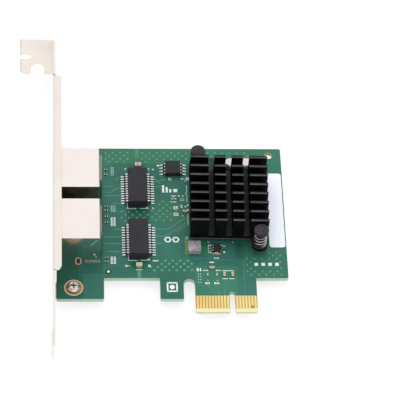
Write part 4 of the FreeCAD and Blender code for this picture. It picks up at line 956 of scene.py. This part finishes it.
backRuns = {
    "width": 0.24,
    "runs": [[(14.2, 30.3), (17.6, 30.3), (21.4, 26.6), (34.4, 26.6), (39.8, 32.0),
              (45.8, 32.0)],
             [(14.2, 28.3), (17.0, 28.3), (20.6, 24.8), (35.0, 24.8), (40.8, 30.4),
              (45.8, 30.4)],
             [(14.2, 26.3), (16.4, 26.3), (19.8, 23.0), (35.6, 23.0), (41.6, 28.8),
              (45.8, 28.8)],
             [(14.2, 51.0), (19.2, 51.0), (22.4, 47.8), (34.6, 47.8), (39.6, 43.0),
              (45.8, 43.0)],
             [(14.2, 49.0), (18.6, 49.0), (21.6, 46.0), (34.0, 46.0), (38.8, 41.2),
              (45.8, 41.2)],
             [(48.8, 6.5), (48.8, 12.0), (51.8, 15.0), (51.8, 27.0)],
             [(50.0, 6.5), (50.0, 11.4), (53.2, 14.6), (53.2, 27.0)],
             [(55.4, 6.5), (55.4, 13.0), (58.4, 16.0), (58.4, 27.0)],
             [(62.2, 6.5), (62.2, 14.0), (64.8, 16.6), (64.8, 30.0)]],
}


def makeBackTracks():
    # pairs of tracks from the jacks and the contacts to the controller
    made = bmesh.new()
    addTracks(made, backRuns)
    turnToBack(made)
    newPiece("backTracks", made, "maskOverTrack")


def makeBackVias():
    made = bmesh.new()
    for look in viaPatches.values():
        addVias(made, look, ())
    turnToBack(made)
    newPiece("backVias", made, "maskOverVia")


for printName in printSets:
    makePrint(printName)
makeLegCovers()
makeBackSolder()
makeBackPads()
makeBackTracks()
makeBackVias()
makeHexagons()
for patchName in viaPatches:
    makeVias(patchName)
for trackName in trackSets:
    makeTracks(trackName)
makePads()
makeTarget()
makeScrewRings()
makeSprings()
makeDimples()
makeShellMarks()
print("pieces on the board made")

cameraSet = {"place": (-60.54 * mm, -418.63 * mm, 653.88 * mm),
             "turns": (-0.1100, 0.6194, 0.0920), "lens": 213.65, "sensor": 36.0}


def placeCamera():
    data = bpy.data.cameras.new("studioCamera")
    data.lens = cameraSet["lens"]
    data.sensor_width = cameraSet["sensor"]
    data.clip_start = 0.01
    camera = bpy.data.objects.new("studioCamera", data)
    bpy.context.scene.collection.objects.link(camera)
    swing, tilt, roll = cameraSet["turns"]
    turned = Matrix.Rotation(swing, 4, "Z") @ Matrix.Rotation(tilt, 4, "X")
    turned = turned @ Matrix.Rotation(roll, 4, "Z")
    camera.matrix_world = Matrix.Translation(cameraSet["place"]) @ turned
    bpy.context.scene.camera = camera


lampAim = (-0.02, 0.035, 0.0)
studioLamps = {
    "softBox": {"place": (-0.02, 0.56, 0.80), "size": 0.9, "radiance": 1.5},
    "fillBox": {"place": (-0.80, -0.25, 0.55), "size": 0.6, "radiance": 0.6},
    "sideBox": {"place": (0.75, -0.10, 0.60), "size": 0.6, "radiance": 1.5},
}


def placeLamps():
    centre = Vector(lampAim)
    for name, lamp in studioLamps.items():
        data = bpy.data.lights.new(name, "AREA")
        data.shape = "SQUARE"
        data.size = lamp["size"]
        data.energy = lamp["radiance"] * math.pi * lamp["size"] ** 2
        made = bpy.data.objects.new(name, data)
        bpy.context.scene.collection.objects.link(made)
        made.visible_glossy = False
        made.location = lamp["place"]
        aim = centre - Vector(lamp["place"])
        made.rotation_euler = aim.to_track_quat("-Z", "Y").to_euler()


def seenByRays(tree):
    # 1 for what the camera or a mirror sees directly, 0 for light that falls on things
    path = tree.nodes.new("ShaderNodeLightPath")
    total = path.outputs["Is Camera Ray"]
    for name in ("Is Glossy Ray", "Is Transmission Ray"):
        added = tree.nodes.new("ShaderNodeMath")
        added.operation = "MAXIMUM"
        tree.links.new(total, added.inputs[0])
        tree.links.new(path.outputs[name], added.inputs[1])
        total = added.outputs[0]
    return total


roomLook = {"light": 0.82, "seen": 1.0}
floorLook = {"size": 3.0, "gap": 0.02 * mm, "lit": (0.8, 0.8, 0.8, 1.0),
             "seen": (0.3, 0.3, 0.3, 1.0), "black": (0.0, 0.0, 0.0, 1.0),
             "glow": (0.76, 0.76, 0.76, 1.0)}


def makeWorld():
    world = bpy.data.worlds.new("paleRoom")
    world.use_nodes = True
    bpy.context.scene.world = world
    tree = world.node_tree
    back = tree.nodes["Background"]
    back.inputs["Color"].default_value = (1.0, 1.0, 1.0, 1.0)
    seen = seenByRays(tree)
    level = tree.nodes.new("ShaderNodeMapRange")
    tree.links.new(seen, level.inputs["Value"])
    level.inputs["To Min"].default_value = roomLook["light"]
    level.inputs["To Max"].default_value = roomLook["seen"]
    tree.links.new(level.outputs[0], back.inputs["Strength"])


def makeFloor():
    # a white sheet that keeps the card's shadow
    low = cadBounds[0][2] - floorLook["gap"]
    made = bmesh.new()
    bmesh.ops.create_grid(made, x_segments=1, y_segments=1, size=floorLook["size"],
                          matrix=Matrix.Translation((0, 0, low)))
    mesh = bpy.data.meshes.new("studioFloor")
    made.to_mesh(mesh)
    made.free()
    floor = bpy.data.objects.new("studioFloor", mesh)
    bpy.context.scene.collection.objects.link(floor)
    finish = Finish("floorWhite", Roughness=0.9, Specular_IOR_Level=0.0,
                    Emission_Strength=1.0)
    seen = Wire(finish, seenByRays(finish.tree))
    finish.feed("Base Color", finish.mix(seen, floorLook["lit"], floorLook["seen"]))
    finish.feed("Emission Color", finish.mix(seen, floorLook["black"], floorLook["glow"]))
    mesh.materials.append(finish.material)


placeCamera()
placeLamps()
makeWorld()
makeFloor()
bpy.context.scene.view_settings.view_transform = "Standard"
print("camera, lamps, room and floor set")
